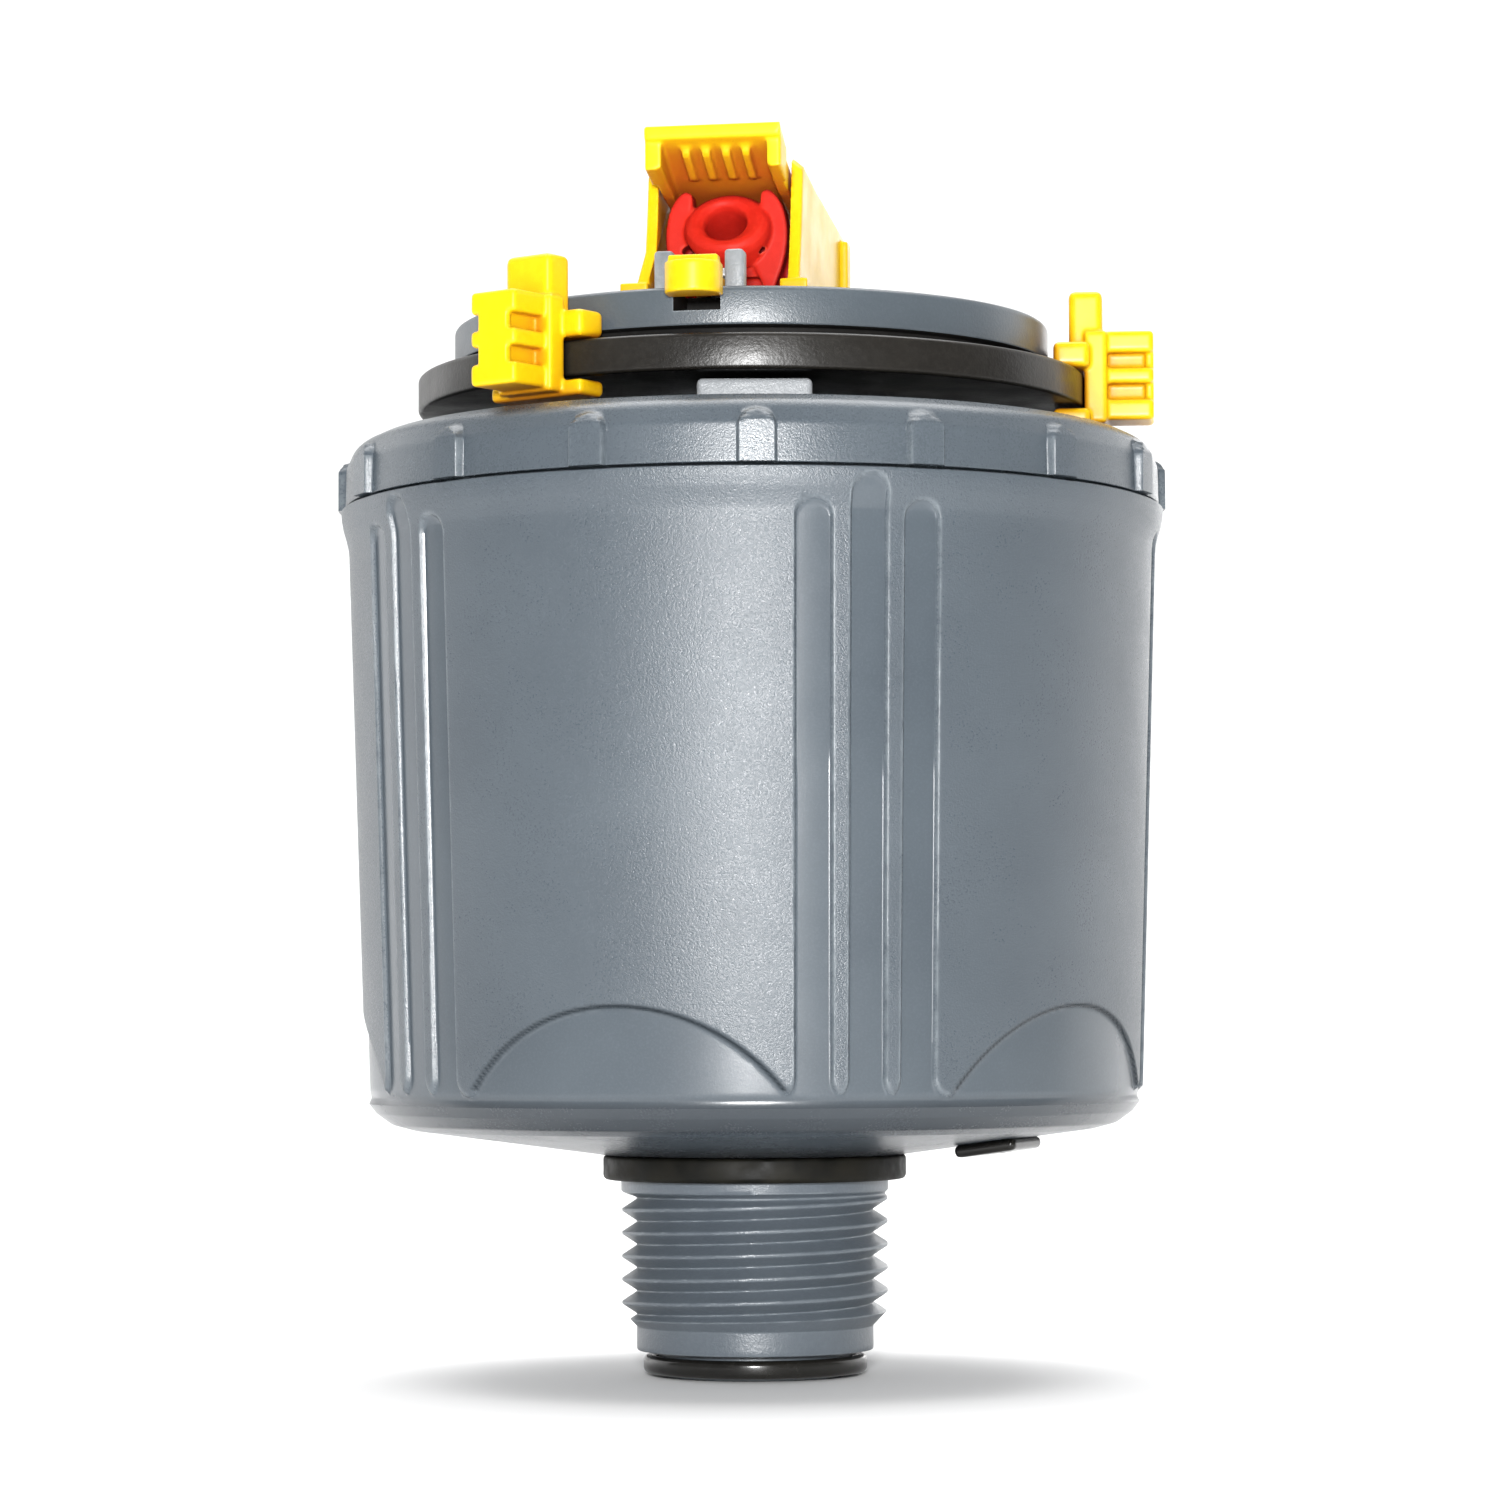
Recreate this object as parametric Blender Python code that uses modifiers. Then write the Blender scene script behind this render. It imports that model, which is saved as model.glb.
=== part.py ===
"""Motorised rotary head: a tapered casing on a threaded spigot, with a water
turbine and gear train inside that turn a hooded nozzle turret between two
clip-on sector stops. Lengths below are in millimetres; the model is in metres,
+Z up, with its origin at the bottom centre of the spigot and its front at -Y.
Left is -X. u is a distance forwards, towards -Y."""
import math

import bmesh
import bpy
from mathutils import Matrix, Vector

MM = 0.001
GAP = 0.3  # the usual clearance between neighbouring pieces

# ---- driving dimensions (mm, degrees) ----
THREAD_R, THREAD_ROOT_R, PITCH = 10.478, 9.32, 1.814  # G 1/2
THREAD_TURNS, THREAD_START_Z = 6, 4.75
SPIGOT_BORE_R, NOSE_R, SHOULDER_R = 6.3, 7.6, 10.55
SEAT_Z = 17.25  # lowest face of the casing
GASKET_R, GASKET_Z0 = 11.9, 15.3
CASING_TOP_Z, PANEL_DEPTH = 68.0, 0.35
PANELS, FLUTE_CENTRE, ARCH_CENTRE = 5, 15.5, -19.5
ARCH_END_Z, ARCH_CROWN_Z, ARCH_HALF_ANGLE = 22.5, 28.8, 24.3
FLUTE_STEP, FLUTE_HALF_W = 7.45, 1.4  # step in degrees
CAP_R, CAP_Z0, CAP_Z1 = 32.2, CASING_TOP_Z + GAP, 73.5
PADS, PAD_FIRST, PAD_HALF_W = 16, 1.1, 1.375
RING_R, RING_Z0, RING_Z1 = 26.5, 75.8, 78.6
DISC_R, DISC_Z0, DISC_Z1 = 23.6, RING_Z1 + GAP, 82.5
RISER_R, RISER_BORE_R = 5.5, 3.5
RISER_FIT_R = RISER_R + GAP  # bore of the small rings round the riser
RISER_HOLE_R = 5.9  # bore of the larger pieces round the riser
HEADING = -10.0  # turret heading, degrees about +Z from -Y
CLIP_LEFT, CLIP_RIGHT = -37.1, 85.0
PIVOT_U, VISOR_U, VISOR_Z = 14.0, -8.0, 90.0
NOZZLE_U, NOZZLE_Z, NOZZLE_RISE = 11.0, 89.1, 31.0
WHEEL_TEETH, PINION_TEETH, MODULE = 24, 8, 0.75
IDLER_X = MODULE * (WHEEL_TEETH + PINION_TEETH) / 2
AXLE_R = 1.0
AXLE_HOLE_R = AXLE_R + GAP

for old in list(bpy.data.objects):
    bpy.data.objects.remove(old, do_unlink=True)
PARTS = bpy.data.collections.new("motorised_rotary_head")
TOOLS = bpy.data.collections.new("cutters")
for collection in (PARTS, TOOLS):
    bpy.context.scene.collection.children.link(collection)

# ---- finishes ----
GREY = dict(rgb=(0.155, 0.19, 0.22), rough=0.45)
LIGHT = dict(rgb=(0.30, 0.33, 0.36), rough=0.5)
BLACK = dict(rgb=(0.012, 0.012, 0.013), rough=0.3)
RUBBER = dict(rgb=(0.015, 0.015, 0.015), rough=0.7)
YELLOW = dict(rgb=(0.85, 0.60, 0.01), rough=0.4)
RED = dict(rgb=(0.75, 0.025, 0.01), rough=0.35)
WHITE = dict(rgb=(0.75, 0.74, 0.70), rough=0.45)
STEEL = dict(rgb=(0.55, 0.56, 0.57), rough=0.3, metal=1.0)


def material(name, rgb, rough, metal=0.0):
    made = bpy.data.materials.new(name)
    made.use_nodes = True
    shader = made.node_tree.nodes["Principled BSDF"]
    shader.inputs["Base Color"].default_value = (*rgb, 1.0)
    shader.inputs["Roughness"].default_value = rough
    shader.inputs["Metallic"].default_value = metal
    made.diffuse_color = (*rgb, 1.0)
    return made


# ---------------------------------------------------------------- helpers
def new(name, data):
    """Every object starts as a hidden helper; part() shows the finished ones."""
    ob = bpy.data.objects.new(name, data)
    TOOLS.objects.link(ob)
    ob.hide_render = True
    ob.display_type = "WIRE"
    return ob


def part(ob, look, parent=None):
    """Make a finished piece of ob, with its own material."""
    TOOLS.objects.unlink(ob)
    PARTS.objects.link(ob)
    ob.hide_render = False
    ob.display_type = "TEXTURED"
    ob.data.materials.clear()
    ob.data.materials.append(material(ob.name + "_finish", **look))
    if parent:
        ob.parent = parent


def from_bmesh(name, body):
    bmesh.ops.recalc_face_normals(body, faces=body.faces)
    mesh = bpy.data.meshes.new(name)
    body.to_mesh(mesh)
    body.free()
    return new(name, mesh)


def edit(mesh, change):
    """Apply change(bmesh) to a mesh and make its normals consistent."""
    body = bmesh.new()
    body.from_mesh(mesh)
    change(body)
    bmesh.ops.recalc_face_normals(body, faces=body.faces)
    body.to_mesh(mesh)
    body.free()


def screwed(name, section, steps, closed=True):
    """A section in (radius, height) under a full-turn screw modifier round Z."""
    count = len(section)
    edges = [(i, i + 1) for i in range(count - 1)] + ([(count - 1, 0)] if closed else [])
    mesh = bpy.data.meshes.new(name)
    mesh.from_pydata([(r * MM, 0, z * MM) for r, z in section], edges, [])
    ob = new(name, mesh)
    screw = ob.modifiers.new("turn", "SCREW")
    screw.axis, screw.angle = "Z", 2 * math.pi
    screw.steps = screw.render_steps = steps
    screw.use_smooth_shade = False
    return ob, screw


def turned(name, section, segs, closed=True):
    ob, screw = screwed(name, section, segs, closed)
    screw.use_merge_vertices, screw.merge_threshold = True, 1e-5
    return ob


def washer(name, inner, outer, z0, z1, segs):
    return turned(name, [(inner, z1), (outer, z1), (outer, z0), (inner, z0)], segs)


def box(name, x0, x1, u0, u1, z0, z1):
    body = bmesh.new()
    bmesh.ops.create_cube(body, size=1.0)
    size = Vector((x1 - x0, u1 - u0, z1 - z0)) * MM
    middle = Vector((x0 + x1, -u0 - u1, z0 + z1)) * MM / 2
    bmesh.ops.transform(body, matrix=Matrix.Translation(middle) @ Matrix.Diagonal((*size, 1)),
                        verts=body.verts)
    return from_bmesh(name, body)


def rod(name, radius, z0, z1, at=(0, 0), segs=24):
    """An upright cylinder; at is its (x, y)."""
    body = bmesh.new()
    bmesh.ops.create_cone(body, cap_ends=True, segments=segs, radius1=radius * MM,
                          radius2=radius * MM, depth=(z1 - z0) * MM)
    bmesh.ops.translate(body, vec=Vector((*at, (z0 + z1) / 2)) * MM, verts=body.verts)
    return from_bmesh(name, body)


def settled(ob):
    """The object's evaluated shape as a plain welded mesh."""
    bpy.context.view_layer.update()
    depsgraph = bpy.context.evaluated_depsgraph_get()
    mesh = bpy.data.meshes.new_from_object(ob.evaluated_get(depsgraph))
    edit(mesh, lambda body: bmesh.ops.remove_doubles(body, verts=body.verts, dist=1e-7))
    name = ob.name
    bpy.data.objects.remove(ob, do_unlink=True)
    return new(name, mesh)


def outline(name, points, c0, c1, plane="top"):
    """A flat outline given thickness from c0 to c1.
    top: (x, y), thick along z. side: (u, z), thick along x. front: (x, z), thick along u."""
    curve = bpy.data.curves.new(name, "CURVE")
    curve.dimensions, curve.fill_mode = "2D", "BOTH"
    curve.extrude = (c1 - c0) / 2 * MM
    spline = curve.splines.new("POLY")
    spline.points.add(len(points) - 1)
    for point, (a, b) in zip(spline.points, points):
        point.co = (a * MM, b * MM, 0, 1)
    spline.use_cyclic_u = True
    ob = settled(new(name, curve))
    mid = (c0 + c1) / 2 * MM
    place = {
        "top": Matrix(((1, 0, 0, 0), (0, 1, 0, 0), (0, 0, 1, mid), (0, 0, 0, 1))),
        "side": Matrix(((0, 0, 1, mid), (-1, 0, 0, 0), (0, 1, 0, 0), (0, 0, 0, 1))),
        "front": Matrix(((1, 0, 0, 0), (0, 0, -1, -mid), (0, 1, 0, 0), (0, 0, 0, 1))),
    }[plane]
    edit(ob.data, lambda body: bmesh.ops.transform(body, matrix=place, verts=body.verts))
    return ob


def turn_mesh(ob, degrees, axis="Z", about=(0, 0, 0)):
    """Turn the mesh itself round an axis through a point (mm)."""
    shift = Matrix.Translation(Vector(about) * MM)
    turn = Matrix.Rotation(math.radians(degrees), 4, axis)
    ob.data.transform(shift @ turn @ shift.inverted())
    return ob


def joined(name, obs):
    """Separate closed bodies in one mesh, for use as one boolean tool."""
    body = bmesh.new()
    for ob in obs:
        body.from_mesh(ob.data)
        bpy.data.objects.remove(ob, do_unlink=True)
    return from_bmesh(name, body)


def boolean(ob, tool, how, parent=None):
    modifier = ob.modifiers.new(how.lower() + "_" + tool.name, "BOOLEAN")
    modifier.operation, modifier.object, modifier.solver = how, tool, "EXACT"
    if parent:
        tool.parent = parent


def add(ob, *tools, parent=None):
    for tool in tools:
        boolean(ob, tool, "UNION", parent)


def cut(ob, *tools, parent=None):
    for tool in tools:
        boolean(ob, tool, "DIFFERENCE", parent)


def bevel_edges(ob):
    bevel = ob.modifiers.new("edge", "BEVEL")
    bevel.width, bevel.segments = 0.4 * MM, 1


def origin_to(ob, u, z):
    """Put a part's origin on its joint axis, without moving its shape."""
    joint = Vector((0, -u, z)) * MM
    ob.data.transform(Matrix.Translation(-joint))
    ob.location = joint


def arc(cx, cy, radius, a0, a1, count):
    angles = [math.radians(a0 + (a1 - a0) * i / count) for i in range(count + 1)]
    return [(cx + radius * math.cos(a), cy + radius * math.sin(a)) for a in angles]


def round_topped(half_width, bottom, top):
    return ([(-half_width, bottom), (half_width, bottom)]
            + arc(0, top - half_width, half_width, 0, 180, 4))


def strip(line, depth):
    """A (u, z) line thickened downwards."""
    return line + [(u, z - depth) for u, z in reversed(line)]


def headed(name, head_name, at, shank, head, parent=None):
    """A steel screw or pin; shank and head are (radius, z0, z1)."""
    ob = rod(name, *shank, at, 12)
    add(ob, rod(head_name, *head, at, 12), parent=parent)
    part(ob, STEEL, parent)


# ---------------------------------------------------------------- spigot
# thread ridge: a trapezium section swept up a helix
ridge, helix = screwed("thread_ridge", [
    (r, THREAD_START_Z + z)
    for r, z in ((9.0, 0.84), (THREAD_R, 0.12), (THREAD_R, -0.12), (9.0, -0.84))], 18)
helix.screw_offset, helix.iterations = PITCH * MM, THREAD_TURNS
ridge = settled(ridge)
edit(ridge.data, lambda body: bmesh.ops.holes_fill(
    body, edges=[e for e in body.edges if e.is_boundary], sides=8))
# the envelope gives the thread its lead-in chamfer
envelope = turned("thread_envelope", [
    (8.5, 17.0), (12.5, 17.0), (12.5, 7.2), (9.45, 3.75), (8.5, 3.75)], 31)
boolean(ridge, envelope, "INTERSECT")
ridge = settled(ridge)

spigot = turned("spigot", [
    (SPIGOT_BORE_R, 21.9), (15.0, 21.9), (15.0, 20.1), (SHOULDER_R, 20.1), (SHOULDER_R, 14.7),
    (SHOULDER_R - 0.3, 14.4), (THREAD_ROOT_R, 14.4), (THREAD_ROOT_R, 2.2), (9.0, 1.9),
    (NOSE_R, 1.9), (NOSE_R, 0.0), (SPIGOT_BORE_R, 0.0)], 32)
add(spigot, ridge)
part(spigot, GREY)
part(washer("spigot_gasket", SHOULDER_R + GAP, GASKET_R, GASKET_Z0, SEAT_Z - GAP, 32), RUBBER)
part(turned("tip_o_ring", [
    (NOSE_R + GAP, 1.6), (8.5, 1.6), (8.8, 0.9), (8.5, 0.2), (NOSE_R + GAP, 0.2)], 24), RUBBER)

# strainer: a flanged cup inside the spigot's bore, slotted all round
strainer = turned("strainer", [
    (0, 2.0), (5.1, 2.0), (5.1, 23.2), (8.2, 23.2), (8.2, 22.3), (5.9, 22.3), (5.9, 1.2),
    (0, 1.2)], 24, closed=False)
cut(strainer, *[turn_mesh(box("slot", -8, 8, -0.6, 0.6, 4.5, 18.0), angle)
                for angle in (0, 45, 90, 135)])
part(strainer, WHITE)

# ---------------------------------------------------------------- casing
UNDER_R0, UNDER_R1, UNDER_Z1 = 12.6, 26.8, 19.25  # underside cone, rising from SEAT_Z
TAPER_TOP, RIM_FOOT = (31.95, 64.6), (32.4, 66.3)  # (radius, z) on the outer side
casing = turned("casing", [
    (32.6, CASING_TOP_Z), RIM_FOOT, TAPER_TOP, (30.6, 22.3), (30.45, 21.6), (29.9, 20.8),
    (28.6, 19.7), (UNDER_R1, UNDER_Z1), (UNDER_R0, SEAT_Z), (10.9, SEAT_Z), (10.9, 19.8),
    (15.5, 19.8), (26.0, 21.3), (28.4, 23.5), (29.95, 64.6), (29.95, CASING_TOP_Z)], 48)

# sunk panels: round-topped flutes in threes, with a low arch between the groups
arch_half = 30.8 * math.sin(math.radians(ARCH_HALF_ANGLE))
arch_rise = ARCH_CROWN_Z - ARCH_END_Z
arch_r = (arch_half * arch_half + arch_rise * arch_rise) / (2 * arch_rise)
arch_end = math.degrees(math.asin((arch_r - arch_rise) / arch_r))
arch = [(-arch_half, 18.0), (arch_half, 18.0)]
arch += arc(0, ARCH_CROWN_Z - arch_r, arch_r, arch_end, 180 - arch_end, 10)
prisms = []
for k in range(PANELS):
    turn = 360 / PANELS * k
    for j, top in ((-1, 65.6), (0, 67.4), (1, 65.6)):
        flute = outline("flute", round_topped(FLUTE_HALF_W, 18.0, top), 25, 36, "front")
        prisms.append(turn_mesh(flute, FLUTE_CENTRE + turn + j * FLUTE_STEP))
    prisms.append(turn_mesh(outline("arch", arch, 25, 36, "front"), ARCH_CENTRE + turn))
panels = joined("panel_prisms", prisms)
# only what lies outside the sunk surface is cut away
SKIN_R, SKIN_Z0, SKIN_Z1 = 34.5, 21.9, 67.7
skin_side = ((30.55, SKIN_Z0), TAPER_TOP, RIM_FOOT, (32.58, SKIN_Z1))
skin = turned("panel_skin", [(SKIN_R, SKIN_Z1), (SKIN_R, SKIN_Z0)]
              + [(r - PANEL_DEPTH, z) for r, z in skin_side], 48)
boolean(panels, skin, "INTERSECT")

# drain plug on the underside cone, and its hole
PLUG_R, PLUG_Z, PLUG_ANGLE, PLUG_HALF_W = 20.0, 18.29, 70.0, 3.75
slope = math.degrees(math.atan2(UNDER_Z1 - SEAT_Z, UNDER_R1 - UNDER_R0))
plug = box("drain_plug", -PLUG_HALF_W, PLUG_HALF_W, PLUG_R - 2.0, PLUG_R + 2.0,
           PLUG_Z - 1.6, PLUG_Z - GAP)
plug_stem = rod("plug_stem", 1.5, PLUG_Z - 0.8, PLUG_Z + 4.0, (0, -PLUG_R), 20)
plug_hole = rod("plug_hole", 1.85, PLUG_Z - 3, PLUG_Z + 6, (0, -PLUG_R), 20)
for ob in (plug, plug_stem, plug_hole):
    turn_mesh(ob, -slope, "X", (0, -PLUG_R, PLUG_Z))
    turn_mesh(ob, PLUG_ANGLE)
bevel_edges(plug)
add(plug, plug_stem)
part(plug, BLACK)
cut(casing, plug_hole)
casing = settled(casing)
cut(casing, panels)
part(casing, GREY)

# ---------------------------------------------------------------- top rings
# cap ring, with a skirt inside the casing and grip pads round its side
SKIRT_R0, SKIRT_R1, SKIRT_Z0 = 28.1, 29.6, 62.0
cap = turned("cap_ring", [
    (27.2, CAP_Z1), (29.9, CAP_Z1), (31.4, 72.9), (CAP_R, 71.3), (CAP_R, CAP_Z0),
    (SKIRT_R1, CAP_Z0), (SKIRT_R1, SKIRT_Z0), (SKIRT_R0, SKIRT_Z0), (SKIRT_R0, 71.8),
    (27.2, 71.8)], 40)
pad = round_topped(PAD_HALF_W, CAP_Z0 + 0.1, 72.0)
add(cap, joined("grip_pads", [
    turn_mesh(outline("pad", pad, 30.0, 32.85, "front"), PAD_FIRST + 360 / PADS * k)
    for k in range(PADS)]))
part(cap, GREY)
part(washer("cap_seal", 28.3, 29.3, 60.8, 61.6, 36), RUBBER)

# bearing plate, with a hub round the riser and a tab at the front
bearing = turned("bearing_plate", [
    (RISER_HOLE_R, 75.3), (9.0, 75.3), (9.0, 71.2), (27.8, 71.2), (27.8, 68.8), (9.0, 68.8),
    (9.0, 66.0), (RISER_HOLE_R, 66.0)], 32)
add(bearing, outline("tab", [
    (-4.5, 70.5), (4.5, 70.5), (4.5, 74.6), (4.1, 75.0), (-4.1, 75.0), (-4.5, 74.6)],
    21.8, 24.8, "front"))
part(bearing, LIGHT)
part(turned("stop_ring", [
    (RISER_HOLE_R, RING_Z1), (RING_R - 0.3, RING_Z1), (RING_R, RING_Z1 - 0.3),
    (RING_R, RING_Z0 + 0.3), (RING_R - 0.3, RING_Z0), (RISER_HOLE_R, RING_Z0)], 48), BLACK)
part(washer("riser_seal", RISER_FIT_R, 8.2, 64.4, 65.7, 24), RUBBER)
part(washer("thrust_washer", RISER_FIT_R, 8.4, 63.3, 64.1, 24), STEEL)

# ---------------------------------------------------------------- gearbox
# stator plate: six slanted jet holes
JET_R, JETS = 12.0, 6
stator = washer("stator_plate", AXLE_HOLE_R, 28.0, 24.0, 26.0, 32)
for k in range(JETS):
    jet = rod("jet", 1.3, 20.0, 30.0, (0, -JET_R), 10)
    turn_mesh(jet, 40, "Y", (0, -JET_R, 25.0))
    cut(stator, turn_mesh(jet, 360 / JETS * k))
part(stator, WHITE)

# can and lid, screwed together at three bosses
CAN_R, CAN_BORE_R, CAN_Z0, CAN_FLOOR_Z, CAN_Z1 = 23.5, 22.3, 33.0, 34.2, 52.0
BOSS_CIRCLE_R = 21.0
can = turned("gearbox_can", [
    (CAN_BORE_R, CAN_Z1), (CAN_R, CAN_Z1), (CAN_R, CAN_Z0), (4.2, CAN_Z0),
    (4.2, CAN_FLOOR_Z), (CAN_BORE_R, CAN_FLOOR_Z)], 32)
lid = washer("gearbox_lid", 6.1, CAN_R, CAN_Z1 + GAP, 53.8, 32)
bosses = [(BOSS_CIRCLE_R * math.cos(math.radians(a)), BOSS_CIRCLE_R * math.sin(math.radians(a)))
          for a in (100, 180, 260)]
add(can, *[rod("boss", 2.0, 34.0, 51.8, at, 12) for at in bosses])
for at in bosses:
    cut(can, rod("boss_hole", 1.1, 44.0, 53.0, at, 12))
    cut(lid, rod("lid_hole", 1.1, 51.0, 55.0, at, 12))
cut(can, rod("axle_hole", AXLE_HOLE_R, 32.0, 36.0, (IDLER_X, 0), 16))
cut(lid, rod("axle_hole_top", AXLE_HOLE_R, 51.0, 55.0, (IDLER_X, 0), 16))
part(can, WHITE)
part(lid, WHITE)
for i, at in enumerate(bosses, 1):
    headed(f"gearbox_screw_{i}", "head", at, (0.8, 46.0, 54.5), (1.7, 54.1, 55.2))
part(rod("centre_axle", AXLE_R, 24.2, 45.6, (0, 0), 16), STEEL)
part(rod("idler_axle", AXLE_R, 33.2, 53.6, (IDLER_X, 0), 16), STEEL)


def involute(angle):
    return math.tan(angle) - angle


def gear(name, teeth, z0, z1, phase):
    """Stub-tooth spur gear, 25 degree pressure angle, one tooth centred at phase."""
    pressure = math.radians(25)
    backlash = 0.14
    pitch_r = MODULE * teeth / 2
    tip_r, root_r = pitch_r + 0.8 * MODULE, pitch_r - 0.96 * MODULE
    base_r = pitch_r * math.cos(pressure)
    half_pitch = (math.pi * MODULE / 2 - backlash) / (2 * pitch_r)

    def half_tooth(radius):
        """Half of a tooth's angle at this radius."""
        radius = max(radius, base_r)
        return half_pitch + involute(pressure) - involute(math.acos(base_r / radius))

    points = []
    for k in range(teeth):
        middle = math.radians(phase) + 2 * math.pi * k / teeth
        for radius, side in ((root_r, -1), (tip_r, -1), (tip_r, 1), (root_r, 1)):
            angle = middle + side * half_tooth(radius)
            points.append((radius * math.cos(angle), radius * math.sin(angle)))
    return outline(name, points, z0, z1)


def compound(name, x, z_wheel, side):
    """A wheel whose tooth faces the other axle, and a pinion whose gap does."""
    wheel = gear(name, WHEEL_TEETH, z_wheel, z_wheel + 2.5, side)
    pinion = gear("pinion", PINION_TEETH, z_wheel + 2.0, z_wheel + 6.5,
                  side + 180 / PINION_TEETH)
    bore = rod("bore", AXLE_HOLE_R, z_wheel - 2, z_wheel + 9, (0, 0), 16)
    add(wheel, pinion, parent=wheel)
    cut(wheel, bore, parent=wheel)
    wheel.location = (x * MM, 0, 0)
    part(wheel, WHITE)


GEAR_Z0, GEAR_STEP = 35.0, 3.7
compound("first_gear", IDLER_X, GEAR_Z0, 180)
compound("second_gear", 0, GEAR_Z0 + GEAR_STEP, 0)
compound("third_gear", IDLER_X, GEAR_Z0 + 2 * GEAR_STEP, 180)

# turbine: hub, pitched blades, rim, shaft and pinion in one moulding
BLADES, BLADE_TILT = 8, 35
HUB_Z0, HUB_Z1 = 27.0, 31.5
HUB_MID_Z = (HUB_Z0 + HUB_Z1) / 2
turbine = rod("turbine", 4.2, HUB_Z0, HUB_Z1)
blades = []
for k in range(BLADES):
    blade = box("blade", 3.4, 15.6, -0.4, 0.4, HUB_MID_Z - 1.9, HUB_MID_Z + 1.9)
    turn_mesh(blade, BLADE_TILT, "X", (0, 0, HUB_MID_Z))
    blades.append(turn_mesh(blade, 360 / BLADES * k))
add(turbine, joined("blades", blades),
    washer("turbine_rim", 15.1, 16.3, HUB_Z0, HUB_Z1, 32),
    rod("turbine_shaft", 2.2, 31.0, 35.0, (0, 0), 20),
    gear("turbine_pinion", PINION_TEETH, 34.7, 38.2, 180 / PINION_TEETH))
cut(turbine, rod("turbine_bore", AXLE_HOLE_R, 25.0, 40.0, (0, 0), 16))
part(turbine, WHITE)

# ---------------------------------------------------------------- turret
SCREW_X, SCREW_Y = 2.5, 8.0  # bracket screws, behind the middle
PIVOT_AT = (0, -PIVOT_U)
turret_axis = bpy.data.objects.new("turret_axis", None)
PARTS.objects.link(turret_axis)
turret_axis.rotation_euler = (0, 0, math.radians(HEADING))


def screw_holes(name, z0, z1):
    return [rod(f"{name}_{i}", 1.2, z0, z1, (x, SCREW_Y), 12)
            for i, x in enumerate((-SCREW_X, SCREW_X), 1)]


def visor_rod(name, radius, half_length, segs):
    """A rod along X on the visor's hinge axis."""
    ob = turn_mesh(rod(name, radius, -half_length, half_length, (0, 0), segs), 90, "Y")
    ob.data.transform(Matrix.Translation(Vector((0, -VISOR_U, VISOR_Z)) * MM))
    return ob


# disc and hollow riser, with two posts and four windows
disc = turned("turret_disc", [
    (RISER_BORE_R, DISC_Z1), (DISC_R - 0.4, DISC_Z1), (DISC_R, DISC_Z1 - 0.4),
    (DISC_R, DISC_Z0), (RISER_R, DISC_Z0), (RISER_R, 46.0), (RISER_BORE_R, 46.0)], 48)
add(disc, box("post_left", -3.4, -1.96, 21.1, 22.9, 82.0, 85.4),
    box("post_right", 1.96, 3.4, 21.1, 22.9, 82.0, 85.4), parent=turret_axis)
cut(disc, box("window_a", -8, 8, -1.5, 1.5, 55.5, 61.5),
    box("window_b", -1.5, 1.5, -8, 8, 55.5, 61.5),
    box("lever_notch", -1.8, 1.8, 18.0, 24.5, 80.7, 83.0),
    rod("pin_seat", 1.0, 80.2, 83.5, PIVOT_AT, 16),
    *screw_holes("screw_seat", 79.9, 83.5), parent=turret_axis)
part(disc, GREY, turret_axis)

output = gear("output_gear", WHEEL_TEETH, 46.2, 48.6, 0)
cut(output, rod("out_bore", RISER_HOLE_R, 45.0, 50.0))
part(output, WHITE)
clip = washer("retaining_clip", RISER_FIT_R, 7.4, 62.2, 63.0, 24)
cut(clip, box("clip_gap", -1.5, 1.5, 4, 9, 61, 64), parent=turret_axis)
part(clip, STEEL, turret_axis)

# hood bracket: two side walls joined at the rear, with feet and hinge lugs
WALL_OUT, WALL_IN = 6.1, 5.2
wall = [(-11.5, 82.8), (14.2, 82.8), (12.8, 86.5), (11.8, 91.8), (10.8, 92.9), (-11.5, 91.4)]
bracket = outline("hood_bracket", wall, -WALL_OUT, -WALL_IN, "side")
add(bracket, box("rear_floor", -5.6, 5.6, -11.45, -2.9, 82.85, 83.75),
    box("rear_wall", -5.6, 5.6, -11.4, -10.5, 83.0, 88.0),
    outline("wall_right", wall, WALL_IN, WALL_OUT, "side"),
    box("foot_left", -8.1, -5.5, 12.2, 14.4, 82.85, 84.0),
    box("foot_right", 5.5, 6.9, 12.2, 14.4, 82.85, 84.0),
    box("lug_left", -6.95, -5.6, -8.9, -7.1, 83.5, 91.1),
    box("lug_right", 5.6, 6.95, -8.9, -7.1, 83.5, 91.1), parent=turret_axis)
cut(bracket, visor_rod("pin_way", 0.9, 9, 16), *screw_holes("floor_hole", 82, 85),
    parent=turret_axis)
part(bracket, YELLOW, turret_axis)
for i, x in enumerate((-SCREW_X, SCREW_X), 1):
    headed(f"bracket_screw_{i}", "bhead", (x, SCREW_Y), (0.8, 80.3, 84.4),
           (1.7, 84.05, 85.1), turret_axis)
part(visor_rod("visor_pin", 0.6, 6.9, 12), STEEL, turret_axis)


# nozzle: base block, raised barrel with its lip, side wings, drilled water way
def along(name, radius, s0, s1, segs=24):
    """A round length on the nozzle's axis, between distances s0 and s1 from its mouth."""
    ob = rod(name, radius, s0, s1, (0, 0), segs)
    ob.data.transform(Matrix.Translation(Vector((0, -NOZZLE_U, NOZZLE_Z)) * MM)
                      @ Matrix.Rotation(math.pi / 2 - math.radians(NOZZLE_RISE), 4, "X"))
    return ob


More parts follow.
